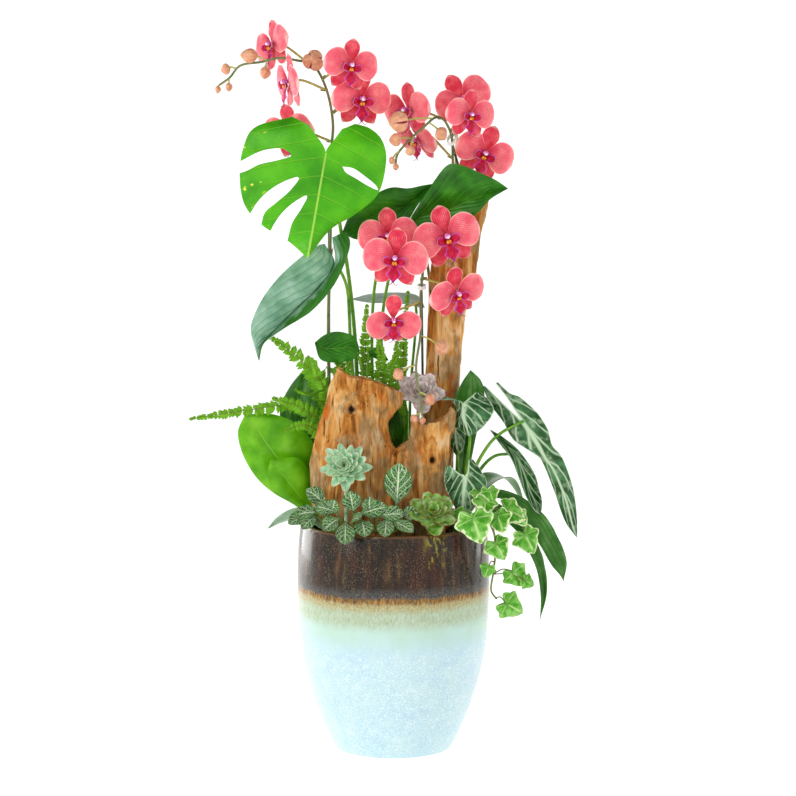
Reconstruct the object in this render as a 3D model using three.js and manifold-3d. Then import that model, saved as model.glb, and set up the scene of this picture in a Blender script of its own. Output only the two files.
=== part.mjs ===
// Moth orchids planted with foliage, fern, succulents and driftwood in a tall glazed pot.
// Units are millimetres and +Z is up. The origin is the centre of the pot's underside, and the front looks
// along -Y. Points are [x, y, z]; a leaf row that is seen from the front is [depth y, x, z, x, z, ...].
import * as THREE from "three";
import { mergeVertices } from "three/addons/utils/BufferGeometryUtils.js";
import Module from "manifold-3d";

const wasm = await Module();
wasm.setup();

// Driving sizes
const POT_HEIGHT = 296;
const POT_BASE_RADIUS = 73;
const POT_SIDES = 26;
const SOIL_TOP = 280;
const ROOT_Z = 262; // lowest point of every stem, inside its hole in the soil
const UPRIGHT = 22; // how far a stem rises straight up from there
const HOLE_ROOM = 1.8; // how much wider a root's hole is than the root
const CUT_HEIGHT = 60; // height of the shapes that cut holes and slots into the soil
const GAP = 0.4; // clearance between neighbouring pieces
const BLADE = 0.9; // thickness of petals and small leaves
const LEAF = 1.2; // thickness of large leaves

// Colours of the finishes: [colour, roughness]
const FINISH = {
  glaze: ["#7d8f8c", 0.15],
  soil: ["#4a3526", 0.95],
  driftwood: ["#a9733f", 0.85],
  stem: ["#6d7c4b", 0.6],
  stake: ["#4b4a3a", 0.5],
  clip: ["#e9efec", 0.3],
  petal: ["#ec6675", 0.55],
  lip: ["#a3122e", 0.4],
  monstera: ["#57b00f", 0.45],
  silver: ["#7c9f8a", 0.5],
  darkLeaf: ["#1f6a1c", 0.35],
  pale: ["#a9c2bd", 0.5],
  orchidLeaf: ["#3f8f26", 0.35],
  fern: ["#79c23a", 0.6],
  blueRosette: ["#8fc0ac", 0.55],
  greenRosette: ["#7fae6a", 0.5],
  purpleRosette: ["#a99aa6", 0.55],
  fittonia: ["#5d9a73", 0.5],
  alocasia: ["#1d5a37", 0.4],
  ivy: ["#8fd060", 0.5],
};

const point = ([x, y, z]) => new THREE.Vector3(x, y, z);
const radians = THREE.MathUtils.degToRad;

// Straight-line interpolation in a list of [key, value, value, ...] rows.
function interpolate(table, key) {
  const last = table.length - 1;
  if (key <= table[0][0]) return table[0].slice(1);
  if (key >= table[last][0]) return table[last].slice(1);
  const i = table.findIndex((row) => row[0] >= key);
  const [low, high] = [table[i - 1], table[i]];
  const share = (key - low[0]) / (high[0] - low[0]);
  return low.slice(1).map((value, k) => THREE.MathUtils.lerp(value, high[k + 1], share));
}

// A closed geometry as a solid, with its faces turned outwards.
function solid(geometry) {
  const bare = geometry.index ? geometry.toNonIndexed() : geometry.clone();
  bare.deleteAttribute("normal");
  bare.deleteAttribute("uv");
  const merged = mergeVertices(bare, 1e-3);
  const corners = merged.index.array;
  const kept = [];
  for (let i = 0; i < corners.length; i += 3) {
    const [a, b, c] = [corners[i], corners[i + 1], corners[i + 2]];
    if (a !== b && b !== c && c !== a) kept.push(a, b, c);
  }
  const make = (triangles) =>
    new wasm.Manifold(
      new wasm.Mesh({
        numProp: 3,
        vertProperties: merged.attributes.position.array,
        triVerts: new Uint32Array(triangles),
      }),
    );
  const made = make(kept);
  return made.volume() < 0 ? make(kept.slice().reverse()) : made;
}

const join = (pieces) => pieces.reduce((whole, piece) => whole.add(piece));

function indexed(points, triangles) {
  const geometry = new THREE.BufferGeometry();
  const flat = points.flatMap((p) => [p.x, p.y, p.z]);
  geometry.setAttribute("position", new THREE.Float32BufferAttribute(flat, 3));
  geometry.setIndex(triangles.flat());
  return geometry;
}

// A solid through closed rings of equal count. A ring of one point is a tip.
function loft(rings) {
  const count = Math.max(...rings.map((ring) => ring.length));
  const points = rings.flatMap((ring) => (ring.length === 1 ? Array(count).fill(ring[0]) : ring));
  const triangles = [];
  for (let r = 0; r < rings.length - 1; r++)
    for (let i = 0; i < count; i++) {
      const [a, b] = [r * count + i, r * count + ((i + 1) % count)];
      triangles.push([a, b, b + count], [a, b + count, a + count]);
    }
  const last = points.length - count;
  for (let i = 1; i < count - 1; i++) triangles.push([0, i + 1, i], [last, last + i, last + i + 1]);
  return solid(indexed(points, triangles));
}

const smooth = (path) => new THREE.CatmullRomCurve3(path.map(point), false, "centripetal");

// A round stem along a smooth path; radii are [first, last].
function stem(path, radii, sides = 4, steps = path.length) {
  const curve = smooth(path);
  const frames = curve.computeFrenetFrames(steps);
  const rings = [];
  for (let k = 0; k <= steps; k++) {
    const centre = curve.getPointAt(k / steps);
    const radius = THREE.MathUtils.lerp(radii[0], radii[1], k / steps);
    const ring = [];
    for (let i = 0; i < sides; i++) {
      const angle = (i / sides) * 2 * Math.PI;
      ring.push(
        centre
          .clone()
          .addScaledVector(frames.normals[k], radius * Math.cos(angle))
          .addScaledVector(frames.binormals[k], radius * Math.sin(angle)),
      );
    }
    rings.push(ring);
  }
  return loft(rings);
}

// The same path, but upright from the root's lowest point to above the soil.
function rooted(path) {
  const [x, y] = path[0];
  return [[x, y, ROOT_Z], [x, y, ROOT_Z + UPRIGHT], ...path.slice(1)];
}

// An egg-shaped bud or knob.
function bead(centre, radii, sides = 7, rings = 5) {
  const ball = new THREE.SphereGeometry(1, sides, rings).rotateX(Math.PI / 2);
  return solid(ball.scale(...radii).translate(...centre));
}

// A thin sheet with both faces split alike: front and back stand half the thickness off the given points.
function sheet(points, triangles, thickness) {
  const places = new Map();
  const unique = [];
  const renamed = points.map((p) => {
    const key = p.toArray().map((c) => c.toFixed(2)).join();
    if (!places.has(key)) places.set(key, unique.push(p) - 1);
    return places.get(key);
  });
  const faces = triangles
    .map((t) => t.map((i) => renamed[i]))
    .filter(([a, b, c]) => a !== b && b !== c && c !== a);
  const normals = unique.map(() => new THREE.Vector3());
  for (const [a, b, c] of faces) {
    const edge = unique[b].clone().sub(unique[a]);
    const normal = edge.cross(unique[c].clone().sub(unique[a]));
    for (const i of [a, b, c]) normals[i].add(normal);
  }
  const half = thickness / 2;
  const front = unique.map((p, i) => p.clone().addScaledVector(normals[i].normalize(), half));
  const back = unique.map((p, i) => p.clone().addScaledVector(normals[i], -half));
  const n = unique.length;
  const out = faces.flatMap(([a, b, c]) => [[a, b, c], [n + a, n + c, n + b]]);
  const directed = new Set(faces.flatMap(([a, b, c]) => [`${a},${b}`, `${b},${c}`, `${c},${a}`]));
  for (const edge of directed) {
    const [a, b] = edge.split(",").map(Number);
    if (!directed.has(`${b},${a}`)) out.push([b, a, n + a], [b, n + a, n + b]);
  }
  return solid(indexed([...front, ...back], out));
}

// The triangles between rows of points. A row is one point at a tip, two as edges, three as edge, rib and
// edge, or four where a notch parts two lobes.
function stripOf(rows) {
  const wide = rows.map((row) => {
    if (row.length === 1) return [row[0], row[0], row[0], row[0]];
    if (row.length === 2) return [row[0], row[0], row[1], row[1]];
    if (row.length === 3) return [row[0], row[1], row[1], row[2]];
    return row;
  });
  const triangles = [];
  for (let r = 0; r < rows.length - 1; r++) {
    const notched = rows[r].length === 4 || rows[r + 1].length === 4;
    for (const column of notched ? [0, 2] : [0, 1, 2]) {
      const a = r * 4 + column;
      triangles.push([a, a + 1, a + 5], [a, a + 5, a + 4]);
    }
  }
  return { points: wide.flat(), triangles };
}

function leafOfRows(rows, thickness) {
  const { points, triangles } = stripOf(rows);
  return sheet(points, triangles, thickness);
}

// A leaf outlined as it is seen from the front. edgeDepth moves the two margins back (+) or forward (-).
function frontLeaf(rows, edgeDepth, thickness = LEAF) {
  const spread = rows.map(([depth, ...flat]) => {
    const row = [];
    for (let i = 0; i < flat.length; i += 2) row.push(point([flat[i], depth, flat[i + 1]]));
    if (row.length > 1) {
      row[0].y += edgeDepth[0];
      row.at(-1).y += edgeDepth[1];
    }
    return row;
  });
  return leafOfRows(spread, thickness);
}

// A leaf along a rib path. rows are [share of the path, half width], face is the side that it looks to, and
// fold lifts its margins. Without a fold each row is just its two edges.
function ribbon({ path, rows, face, fold = 0, thickness = LEAF }) {
  const curve = smooth(path);
  const toFace = point(face).normalize();
  const placed = rows.map(([share, width]) => {
    const centre = curve.getPointAt(share);
    if (width === 0) return [centre];
    const along = curve.getTangentAt(share);
    const across = along.clone().cross(toFace).normalize();
    const lift = across.clone().cross(along).normalize();
    const edge = (side) =>
      centre.clone().addScaledVector(across, side * width).addScaledVector(lift, fold * width);
    return fold === 0 ? [edge(-1), edge(1)] : [edge(-1), centre, edge(1)];
  });
  return leafOfRows(placed, thickness);
}

const evenly = (widths) => widths.map((width, k) => [k / (widths.length - 1), width]);

// A fern frond with a bare stalk, then leaflets: the zigzag of the margins.
const BARE_SHARE = 0.36;
const RIB_HALF_WIDTH = 1.2;
const LEAFLET_PEAK = 0.62; // where a leaflet is widest, as a share of its own length of rib
const SHORTEST_LEAFLET = 2.4;
function frond({ path, halfWidth, pairs, face }) {
  const rows = [[0, RIB_HALF_WIDTH + 0.2]];
  const leafy = 1 - BARE_SHARE;
  for (let i = 0; i < pairs; i++) {
    const share = BARE_SHARE + leafy * (i / pairs);
    const swell = Math.sin(Math.PI * (0.2 + (0.75 * i) / pairs)) * halfWidth;
    const peak = share + (LEAFLET_PEAK * leafy) / pairs;
    rows.push([share, RIB_HALF_WIDTH], [peak, Math.max(swell, SHORTEST_LEAFLET)]);
  }
  rows.push([1, 0]);
  return ribbon({ path, rows, face, thickness: BLADE });
}

// A flower's frame: +Z is where it looks, +Y its upper sepal. lean turns it anticlockwise, in degrees.
function bloomFrame({ at, looks, lean = 0, size = 1 }) {
  const forward = point(looks).normalize();
  const right = new THREE.Vector3(0, 0, 1).cross(forward).normalize();
  const up = forward.clone().cross(right);
  return new THREE.Matrix4()
    .makeBasis(right, up, forward)
    .multiply(new THREE.Matrix4().makeRotationZ(radians(lean)))
    .scale(new THREE.Vector3(size, size, size))
    .setPosition(point(at));
}

// Outlines as [distance out, lower edge, upper edge]. A flower's blades start from the rim of a flat hub.
const HUB_RADIUS = 4;
const PETAL_ROWS = [[10, -8, 20], [27, -18, 24], [41.5, -8, 10]];
const UPPER_SEPAL_ROWS = [[11, -5, 5], [27, -13, 13], [39, 0, 0]];
const LOWER_SEPAL_ROWS = [[11, -4, 4], [27, -12, 12], [40, 0, 0]];

// Petals and sepals of one flower as a single folded sheet. Each blade is turned by angle about the
// flower's axis and grows from the hub between the two rim angles. start is its height at the root, rise
// what it gains by its tip, and curl how far its margins fall back. droop turns the petals down, and cup
// brings them forward.
const USUAL_DROOP = 4;
const LOWER_SEPAL_ANGLE = 56;
function bloomSolid({ droop = USUAL_DROOP, cup = 6 }) {
  const petal = { outline: PETAL_ROWS, start: 1.6, rise: cup, curl: 2.6 };
  const sepal = { start: -2.2, rise: -3.5, curl: -1.5 };
  const lower = LOWER_SEPAL_ANGLE + (droop - USUAL_DROOP) * 0.8;
  const blades = [
    { ...petal, angle: -droop, rim: [-30, 22] },
    { ...sepal, outline: UPPER_SEPAL_ROWS, angle: 90, rim: [70, 110] },
    { ...petal, angle: -droop, rim: [-30, 22], mirror: true },
    { ...sepal, outline: LOWER_SEPAL_ROWS, angle: -lower, rim: [-76, -40], mirror: true },
    { ...sepal, outline: LOWER_SEPAL_ROWS, angle: -lower, rim: [-76, -40] },
  ];
  const points = [];
  const triangles = [];
  const add = (strip) => {
    triangles.push(...strip.triangles.map((t) => t.map((i) => i + points.length)));
    points.push(...strip.points);
  };
  const onRim = (degrees) =>
    new THREE.Vector3(HUB_RADIUS * Math.cos(radians(degrees)), HUB_RADIUS * Math.sin(radians(degrees)), 0);
  const flip = (row) => row.map((p) => new THREE.Vector3(-p.x, p.y, p.z)).reverse();
  const hub = [];
  for (const { outline, angle, rim, start, rise, curl, mirror } of blades) {
    const reach = outline.at(-1)[0];
    const turn = new THREE.Matrix4().makeRotationZ(radians(angle));
    const rows = outline.map(([out, low, high]) => {
      const height = start + rise * (out / reach);
      const edge = height - curl * Math.min(1, (high - low) / 26);
      const corners = low === high
        ? [[out, low, height]]
        : [[out, low, edge], [out, (low + high) / 2, height], [out, high, edge]];
      return corners.map((c) => point(c).applyMatrix4(turn));
    });
    rows.unshift(rim.map(onRim));
    const placed = mirror ? rows.map(flip) : rows;
    hub.push(...placed[0]);
    add(stripOf(placed));
  }
  const fan = hub.map((_, i) => [0, ((i + 1) % hub.length) + 1, i + 1]);
  add({ points: [new THREE.Vector3(0, 0, 0), ...hub], triangles: fan });
  return sheet(points, triangles, BLADE);
}

// Half of the lip's outline from the front as [x, y, height towards the viewer]: a side lobe, then the
// middle lobe.
const LIP_HALF = [
  [2.5, -1, 3.5], [9, 2, 7], [14.5, -3, 10.5], [11, -10, 8.5], [4, -11, 8], [10, -21, 10], [0, -31, 11],
];

// The lip: two side lobes and the middle lobe that hangs forward, with the column above.
function lipSolid() {
  const base = BLADE / 2 + GAP;
  const mirrored = LIP_HALF.slice(0, -1).reverse().map(([x, y, z]) => [-x, y, z]);
  const outline = [...LIP_HALF, ...mirrored];
  const heart = [[0, -6, 6], [0, -20, 13]];
  const points = [...heart, ...outline].map(([x, y, z]) => point([x, y, z + base]));
  const waist = LIP_HALF.length - 3;
  const lowest = outline.length - 1 - waist;
  const triangles = outline.map((_, i) => {
    const middleLobe = i >= waist && i < lowest;
    return [middleLobe ? 1 : 0, i + 2, ((i + 1) % outline.length) + 2];
  });
  triangles.push([0, waist + 2, 1], [0, 1, lowest + 2]);
  const column = stem([[0, 0.4, base], [0, 0, base + 10]], [3.1, 2.4], 4, 1);
  return column.add(sheet(points, triangles, BLADE));
}

// The point on a stem's middle line that is nearest to a hint. The line bends at the stem's own steps.
function nearest(path, hint, steps = path.length) {
  const target = point(hint);
  const curve = smooth(path);
  let best = curve.getPointAt(0);
  for (let k = 0; k < steps; k++) {
    const piece = new THREE.Line3(curve.getPointAt(k / steps), curve.getPointAt((k + 1) / steps));
    const here = piece.closestPointToPoint(target, true, new THREE.Vector3());
    if (here.distanceTo(target) < best.distanceTo(target)) best = here;
  }
  return best.toArray();
}

// The stalk from the stem to just behind a flower's hub.
function stalkTo(bloom, path) {
  const frame = bloomFrame(bloom);
  const onAxis = (distance) => new THREE.Vector3(0, 0, distance).applyMatrix4(frame).toArray();
  const end = BLADE / 2 + GAP;
  return stem([nearest(path, bloom.from), onAxis(-end - 16), onAxis(-end)], [1.6, 1.4], 4, 2);
}

const budOn = (path, [hint, at, radii]) => [
  stem([nearest(path, hint), at], [1.1, 1.1], 3, 1),
  bead(at, radii, 5, radii[0] > 6 ? 4 : 3),
];

// The flowers of each spike: where each is, the way it looks, and a point near where its stalk starts.
const BLOOMS = {
  left: [
    { at: [-154, 26, 909], looks: [-0.8, -0.58, 0.05], lean: 16, size: 0.84, from: [-108, -4, 886] },
    { at: [-131, -26, 862], looks: [-0.92, -0.36, -0.12], lean: 0, size: 0.9, from: [-89, -4, 848] },
    { at: [-132, 6, 799], looks: [-0.55, -0.8, -0.2], lean: 8, size: 0.9, from: [-79, 1, 786] },
    { at: [-54, -44, 883], looks: [0.35, -0.93, -0.1], lean: -8, size: 0.84, from: [-89, -4, 864] },
    { at: [-41, -16, 841], looks: [0.33, -0.93, -0.15], lean: -3, size: 0.92, from: [-78, -2, 820] },
  ],
  right: [
    { at: [19, 24, 826], looks: [-0.66, -0.74, -0.05], lean: 5, size: 0.9, from: [63, 2, 815] },
    { at: [31, 48, 789], looks: [-0.65, -0.6, -0.45], lean: -8, size: 0.8, from: [77, 40, 762] },
    { at: [90, 60, 839], looks: [0.25, -0.92, 0.2], lean: 28, size: 0.93, from: [79, 62, 715] },
    { at: [97, -12, 821], looks: [0.42, -0.9, -0.1], lean: -6, size: 0.8, from: [73, 16, 798] },
    { at: [117, 30, 771], looks: [0.2, -0.95, -0.15], lean: -22, size: 0.93, from: [77, 34, 772] },
  ],
  front: [
    { at: [3, -64, 642], looks: [-0.1, -0.98, -0.1], lean: -5, size: 0.97, from: [38, -3, 626] },
    { at: [-6, -18, 667], looks: [-0.15, -0.98, 0], lean: 5, size: 0.92, from: [38, -3, 626] },
    { at: [67, -42, 668], looks: [0.2, -0.97, -0.08], lean: 16, size: 1.02, from: [38, 14, 650] },
    { at: [80, -42, 597], looks: [0.45, -0.82, -0.34], lean: 14, size: 0.9, from: [37, -4, 614] },
    {
      at: [0, -40, 563], looks: [0.1, -0.92, -0.36], lean: 0, size: 0.84,
      droop: 26, cup: 14, from: [35, -11, 582],
    },
  ],
};

// Flower spikes: the stem's path, and buds as [start of stalk, centre, radii].
const SPIKES = {
  left: {
    path: [
      [-78, 32, 262], [-82, 26, 412], [-84, 20, 543], [-81, 10, 660], [-79, 2, 775], [-77, -2, 811],
      [-87, -4, 858], [-103, -4, 884], [-123, -4, 889], [-144, -4, 892], [-167, -4, 887], [-195, -4, 882],
      [-208, -4, 867], [-221, -4, 858],
    ],
    buds: [
      [[-103, -4, 884], [-101, -15, 889], [13, 12, 13]],
      [[-160, -4, 889], [-183, -9, 895], [11, 9, 9]],
      [[-160, -4, 889], [-163, -9, 873], [7, 7, 8]],
      [[-199, -4, 879], [-213, -5, 878], [6, 6, 7]],
      [[-209, -4, 866], [-209, -6, 855], [4.5, 4.5, 5.5]],
      [[-219, -4, 859], [-223, -5, 852], [3.6, 3.6, 5]],
    ],
  },
  right: {
    path: [
      [52, 76, 262], [75, 86, 458], [81, 82, 643], [79, 62, 715], [77, 44, 755], [75, 22, 790],
      [71, 12, 803], [63, 2, 815], [54, -4, 817], [40, -12, 806], [21, -20, 789], [5, -27, 770],
      [3, -30, 758],
    ],
    buds: [
      [[50, -6, 815], [6, -40, 812], [13, 12, 13]],
      [[44, -10, 809], [61, -16, 796], [8, 7, 9]],
      [[24, -19, 792], [2, -34, 789], [8, 8, 8]],
      [[26, -18, 793], [21, -38, 775], [6, 6, 6.5]],
      [[8, -26, 773], [-2, -34, 763], [4, 4, 5]],
      [[3, -30, 760], [3, -32, 755], [4, 4, 4.5]],
    ],
  },
  front: {
    path: [
      [38, 80, 262], [54, 86, 451], [50, 84, 577], [44, 68, 628], [40, 38, 650], [38, 12, 647],
      [38, -3, 624], [35, -8, 590], [35, -24, 544], [29, -42, 500], [34, -48, 464], [37, -52, 440],
    ],
    buds: [
      [[35, -25, 541], [62, -34, 525], [9, 8, 10]],
      [[30, -40, 505], [6, -52, 493], [7, 7, 8]],
      [[33, -48, 470], [47, -54, 461], [6.5, 6.5, 8]],
      [[36, -50, 446], [26, -56, 437], [5, 5, 5.5]],
      [[37, -52, 441], [37, -54, 434], [4, 4, 5]],
    ],
  },
};

const STAKES = {
  left: [[-84, 50, 262], [-84, 48, 300], [-83, 26, 700]],
  right: [
    [61, 84, 262], [66, 90, 330], [76, 97, 458], [84, 94, 643], [87, 72, 715], [86, 60, 745],
    [77, 38, 779], [75.2, 30, 796],
  ],
  front: [[41, 25, 262], [40, 22, 340], [36, 4, 612]],
};

// Oval clips that hold a spike to its stake: the height they sit at, and the way the stem runs there
const CLIPS = {
  right: { near: [75, 28, 788], along: [-0.1, -0.55, 0.83] },
  front: { near: [36, -1, 600], along: [0, -0.1, 1] },
};
const CLIP_HALF_LENGTH = 12.5;
const CLIP_HALF_WIDTH = 6;
const CLIP_WALL = 1.6;
const CLIP_HEIGHT = 5;

function clipRing(side) {
  const { near, along } = CLIPS[side];
  const onStem = point(nearest(rooted(SPIKES[side].path), near));
  const onStake = point(nearest(rooted(STAKES[side]), near));
  const oval = (path, inset) =>
    path.absellipse(0, 0, CLIP_HALF_LENGTH - inset, CLIP_HALF_WIDTH - inset, 0, 2 * Math.PI);
  const outline = oval(new THREE.Shape(), 0);
  outline.holes.push(oval(new THREE.Path(), CLIP_WALL));
  const options = { depth: CLIP_HEIGHT, bevelEnabled: false, curveSegments: 4 };
  const ring = new THREE.ExtrudeGeometry(outline, options);
  const forward = point(along).normalize();
  const up = forward.clone().cross(onStake.clone().sub(onStem)).normalize();
  const right = up.clone().cross(forward);
  const middle = onStem.add(onStake).divideScalar(2);
  const frame = new THREE.Matrix4().makeBasis(right, up, forward).setPosition(middle);
  return solid(ring.translate(0, 0, -CLIP_HEIGHT / 2).applyMatrix4(frame));
}

// The pot's outer wall as [radius, z] from the foot up, and the inner wall from the rim down
const POT_FLOOR = 12;
const POT_OUTER = [
  [POT_BASE_RADIUS - 3, 0], [POT_BASE_RADIUS + 2.5, 2.5], [88, 26], [101.5, 60], [114, 102],
  [121.8, 148], [124.5, 205], [123.8, 255], [119.5, 293],
];
const POT_INNER = [[113, 292], [115, 250], [115.5, 200], [107, 110], [90, 55], [62, POT_FLOOR]];

function lathe(profile) {
  const points = profile.map(([radius, z]) => new THREE.Vector2(radius, z));
  return solid(new THREE.LatheGeometry(points, POT_SIDES).rotateX(Math.PI / 2));
}

const potSolid = () =>
  lathe([[0, 0], ...POT_OUTER, [116.5, POT_HEIGHT], ...POT_INNER, [0, POT_FLOOR]]);

// Driftwood as an upright block: sides is [z, left x, right x], faces is [z, front y, back y] and crest is
// [x, top z].
function driftwood({ foot, levels, sides, faces, crest, points = 16 }) {
  const highest = Math.max(...crest.map((c) => c[1]));
  const rings = levels.map((level) => {
    const z = foot + (highest - foot) * level;
    const [left, right] = interpolate(sides, z);
    const [front, back] = interpolate(faces, z);
    const ring = [];
    for (let i = 0; i < points; i++) {
      const angle = (i / points) * 2 * Math.PI;
      const square = (c) => Math.sign(c) * Math.abs(c) ** 0.6;
      const waves = 1.8 * Math.sin(7 * angle + 3 * level) + 1.3 * Math.sin(5 * angle - 4 * level);
      const groove = z > SOIL_TOP + 8 ? waves : 0;
      const x = (left + right) / 2 + ((right - left) / 2 + groove * 0.6) * square(Math.cos(angle));
      const y = (front + back) / 2 + ((back - front) / 2 + groove) * square(Math.sin(angle));
      ring.push(point([x, y, foot + (interpolate(crest, x)[0] - foot) * level]));
    }
    return ring;
  });
  const top = rings.at(-1);
  const middle = top.reduce((sum, p) => sum.add(p), new THREE.Vector3()).divideScalar(points);
  return loft([...rings, [middle]]);
}

const WOOD_FOOT = 246;
const FRONT_WOOD = {
  left: {
    foot: WOOD_FOOT,
    levels: [0, 0.15, 0.35, 0.58, 0.69, 0.79, 0.89, 1],
    sides: [
      [300, -86, -4], [332, -104, 2], [393, -107, 5], [415, -103, 3], [423, -101, -3], [446, -96, -9],
      [471, -89, 2], [483, -86, 9], [500, -82, 11],
    ],
    faces: [[300, -50, -6], [400, -50, -6], [470, -44, -8], [500, -38, -14]],
    crest: [
      [-84, 470], [-78, 484], [-71, 500], [-63, 494], [-58, 486], [-49, 488], [-28, 483], [-11, 477],
      [11, 466],
    ],
  },
  right: {
    foot: WOOD_FOOT,
    levels: [0, 0.2, 0.5, 0.8, 0.84, 0.88, 1],
    sides: [
      [300, -20, 66], [341, -16, 68], [385, -9, 70], [412, 1, 72], [422, 16, 76], [432, 22, 78],
      [447, 24, 79],
    ],
    faces: [[300, -53, -10], [400, -53, -10], [447, -44, -14]],
    crest: [[18, 426], [25, 431], [40, 427], [56, 430], [66, 437], [74, 447], [80, 443]],
  },
};
const TALL_WOOD = {
  foot: WOOD_FOOT,
  levels: [0, 0.08, 0.3, 0.44, 0.6, 0.74, 0.88, 1],
  sides: [
    [300, 30, 72], [456, 41, 84], [531, 46, 89], [567, 47, 93], [619, 47, 106], [672, 58, 112],
    [723, 88, 125],
  ],
  faces: [[300, 34, 62], [456, 33, 64], [619, 32, 62], [723, 38, 58]],
  crest: [[86, 712], [97, 719], [112, 716], [126, 724]],
};

const frontWoodSolid = () => driftwood(FRONT_WOOD.left).add(driftwood(FRONT_WOOD.right));

// The slot in the soil that a driftwood foot stands in
function slotFor({ sides, faces }) {
  const [left, right] = interpolate(sides, 0);
  const [front, back] = interpolate(faces, 0);
  const room = 0.8;
  const slot = new THREE.BoxGeometry(right - left + 2 * room, back - front + 2 * room, CUT_HEIGHT);
  const middle = WOOD_FOOT - room + CUT_HEIGHT / 2;
  return solid(slot.translate((left + right) / 2, (front + back) / 2, middle));
}

// Roots: where each stem or crown enters the soil, as [x, y, radius].
const ROOTS = {
  spikeLeft: [-78, 32, 2.8],
  spikeRight: [52, 76, 2.8],
  spikeFront: [38, 80, 2.8],
  stakeLeft: [-84, 50, 1.7],
  stakeRight: [61, 84, 1.7],
  stakeFront: [41, 25, 1.7],
  monstera: [-42, 30, 3.4],
  silver: [-46, 10, 3],
  broadLeft: [-16, 36, 2.8],
  broadRight: [4, 36, 2.8],
  round: [-28, 10, 2.4],
  pale: [22, 74, 2.4],
  orchidLeft: [-88, 10, 7],
  orchidBack: [2, 92, 7],
  orchidRight: [86, 40, 7],
  fernLeft: [-60, 28, 5],
  fernMiddle: [-26, 62, 5],
  fernRight: [2, 62, 4],
  blueRosette: [-60, -63, 3],
  greenRosette: [46, -84, 3.5],
  purpleRosette: [28, 12, 3],
  fittonia: [-52, -88, 4],
  alocasia: [84, -6, 8],
  ivy: [92, -52, 3],
};

const footOf = ([x, y]) => [x, y, ROOT_Z];

// A short upright crown that rises out of its hole in the soil.
function crown([x, y, radius], top) {
  const height = top - ROOT_Z;
  const post = new THREE.CylinderGeometry(radius * 0.8, radius, height, 6).rotateX(Math.PI / 2);
  return solid(post.translate(x, y, ROOT_Z + height / 2));
}

function soilSolid() {
  const inside = POT_INNER.slice().reverse().map(([radius, z]) => [radius - GAP, z]);
  const wall = inside.slice(1, -1);
  const foot = POT_FLOOR + GAP;
  const surface = [[113, SOIL_TOP - 6], [90, SOIL_TOP], [0, SOIL_TOP]];
  const body = lathe([[0, foot], [61.5, foot], ...wall, ...surface]);
  const holes = Object.values(ROOTS).map(([x, y, radius]) => {
    const wide = radius + HOLE_ROOM;
    const hole = new THREE.CylinderGeometry(wide, wide, CUT_HEIGHT, 5).rotateX(Math.PI / 2);
    return solid(hole.translate(x, y, ROOT_Z - 0.6 + CUT_HEIGHT / 2));
  });
  const slots = [FRONT_WOOD.left, FRONT_WOOD.right, TALL_WOOD].map(slotFor);
  return [...holes, ...slots].reduce((soil, cut) => soil.subtract(cut), body);
}

// Large leaves, row by row from the front: [depth y, x, z, ...]
const MONSTERA_ROWS = [
  [-44, -128, 818, -108, 809, -64, 803, -48, 809],
  [-46, -174, 805, -97, 795, -74, 790, -29, 803],
  [-50, -189, 780, -85, 774, -85, 774, -14, 788],
  [-52, -194, 745, -90, 742, -9, 763],
  [-54, -188, 708, -95, 714, -19, 722],
  [-55, -166, 682, -100, 686, -48, 696],
  [-56, -133, 662, -104, 663, -80, 676],
  [-57, -108, 641],
];
// The splits between the leaf's fingers and its one closed hole, as outlines in x and z.
const MONSTERA_SPLITS = [
  [
    [-205, 756], [-186, 766], [-170, 774], [-155, 778], [-138, 778], [-128, 770], [-145, 764],
    [-170, 758], [-186, 750], [-205, 746],
  ],
  [
    [-192, 676], [-180, 698], [-170, 713], [-155, 727], [-136, 738], [-118, 743], [-129, 727],
    [-147, 711], [-162, 698], [-172, 672],
  ],
  [
    [-164, 655], [-152, 681], [-140, 698], [-124, 712], [-108, 720], [-116, 703], [-127, 686],
    [-139, 655],
  ],
  [[-64, 756], [-51, 754], [-36, 744], [-22, 732], [-19, 726], [-31, 731], [-47, 741], [-60, 749]],
];

function monsteraSolid() {
  const blade = frontLeaf(MONSTERA_ROWS, [14, 14]);
  const cuts = MONSTERA_SPLITS.map((outline) => {
    const shape = new THREE.Shape(outline.map(([x, z]) => new THREE.Vector2(x, z)));
    const prism = new THREE.ExtrudeGeometry(shape, { depth: 90, bevelEnabled: false });
    return solid(prism.rotateX(Math.PI / 2));
  });
  const split = cuts.reduce((leaf, cut) => leaf.subtract(cut), blade);
  const petiole = [
    footOf(ROOTS.monstera), [-50, 28, 534], [-60, 18, 630], [-68, 8, 676], [-78, -10, 735], [-83, -34, 766],
    [-86, -50, 770],
  ];
  return join([split, stem(rooted(petiole), [3.2, 2.2])]);
}

function silverSolid() {
  const blade = frontLeaf(
    [
      [-2, -95, 654, -88, 656, -78, 664, -60, 673],
      [-10, -118, 639, -75, 630, -75, 630, -55, 656],
      [-18, -144, 616, -96, 599, -64, 627],
      [-28, -163, 593, -121, 576, -79, 600],
      [-38, -175, 571, -144, 554, -105, 572],
      [-46, -181, 551, -161, 537, -138, 552],
      [-52, -177, 531, -171, 525, -163, 534],
      [-56, -170, 511],
    ],
    [6, -6],
  );
  const petiole = [
    footOf(ROOTS.silver), [-52, 14, 470], [-56, 16, 540], [-60, 11, 600], [-70, 0, 624], [-77, -10, 630],
  ];
  return join([blade, stem(rooted(petiole), [3, 2])]);
}

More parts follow.
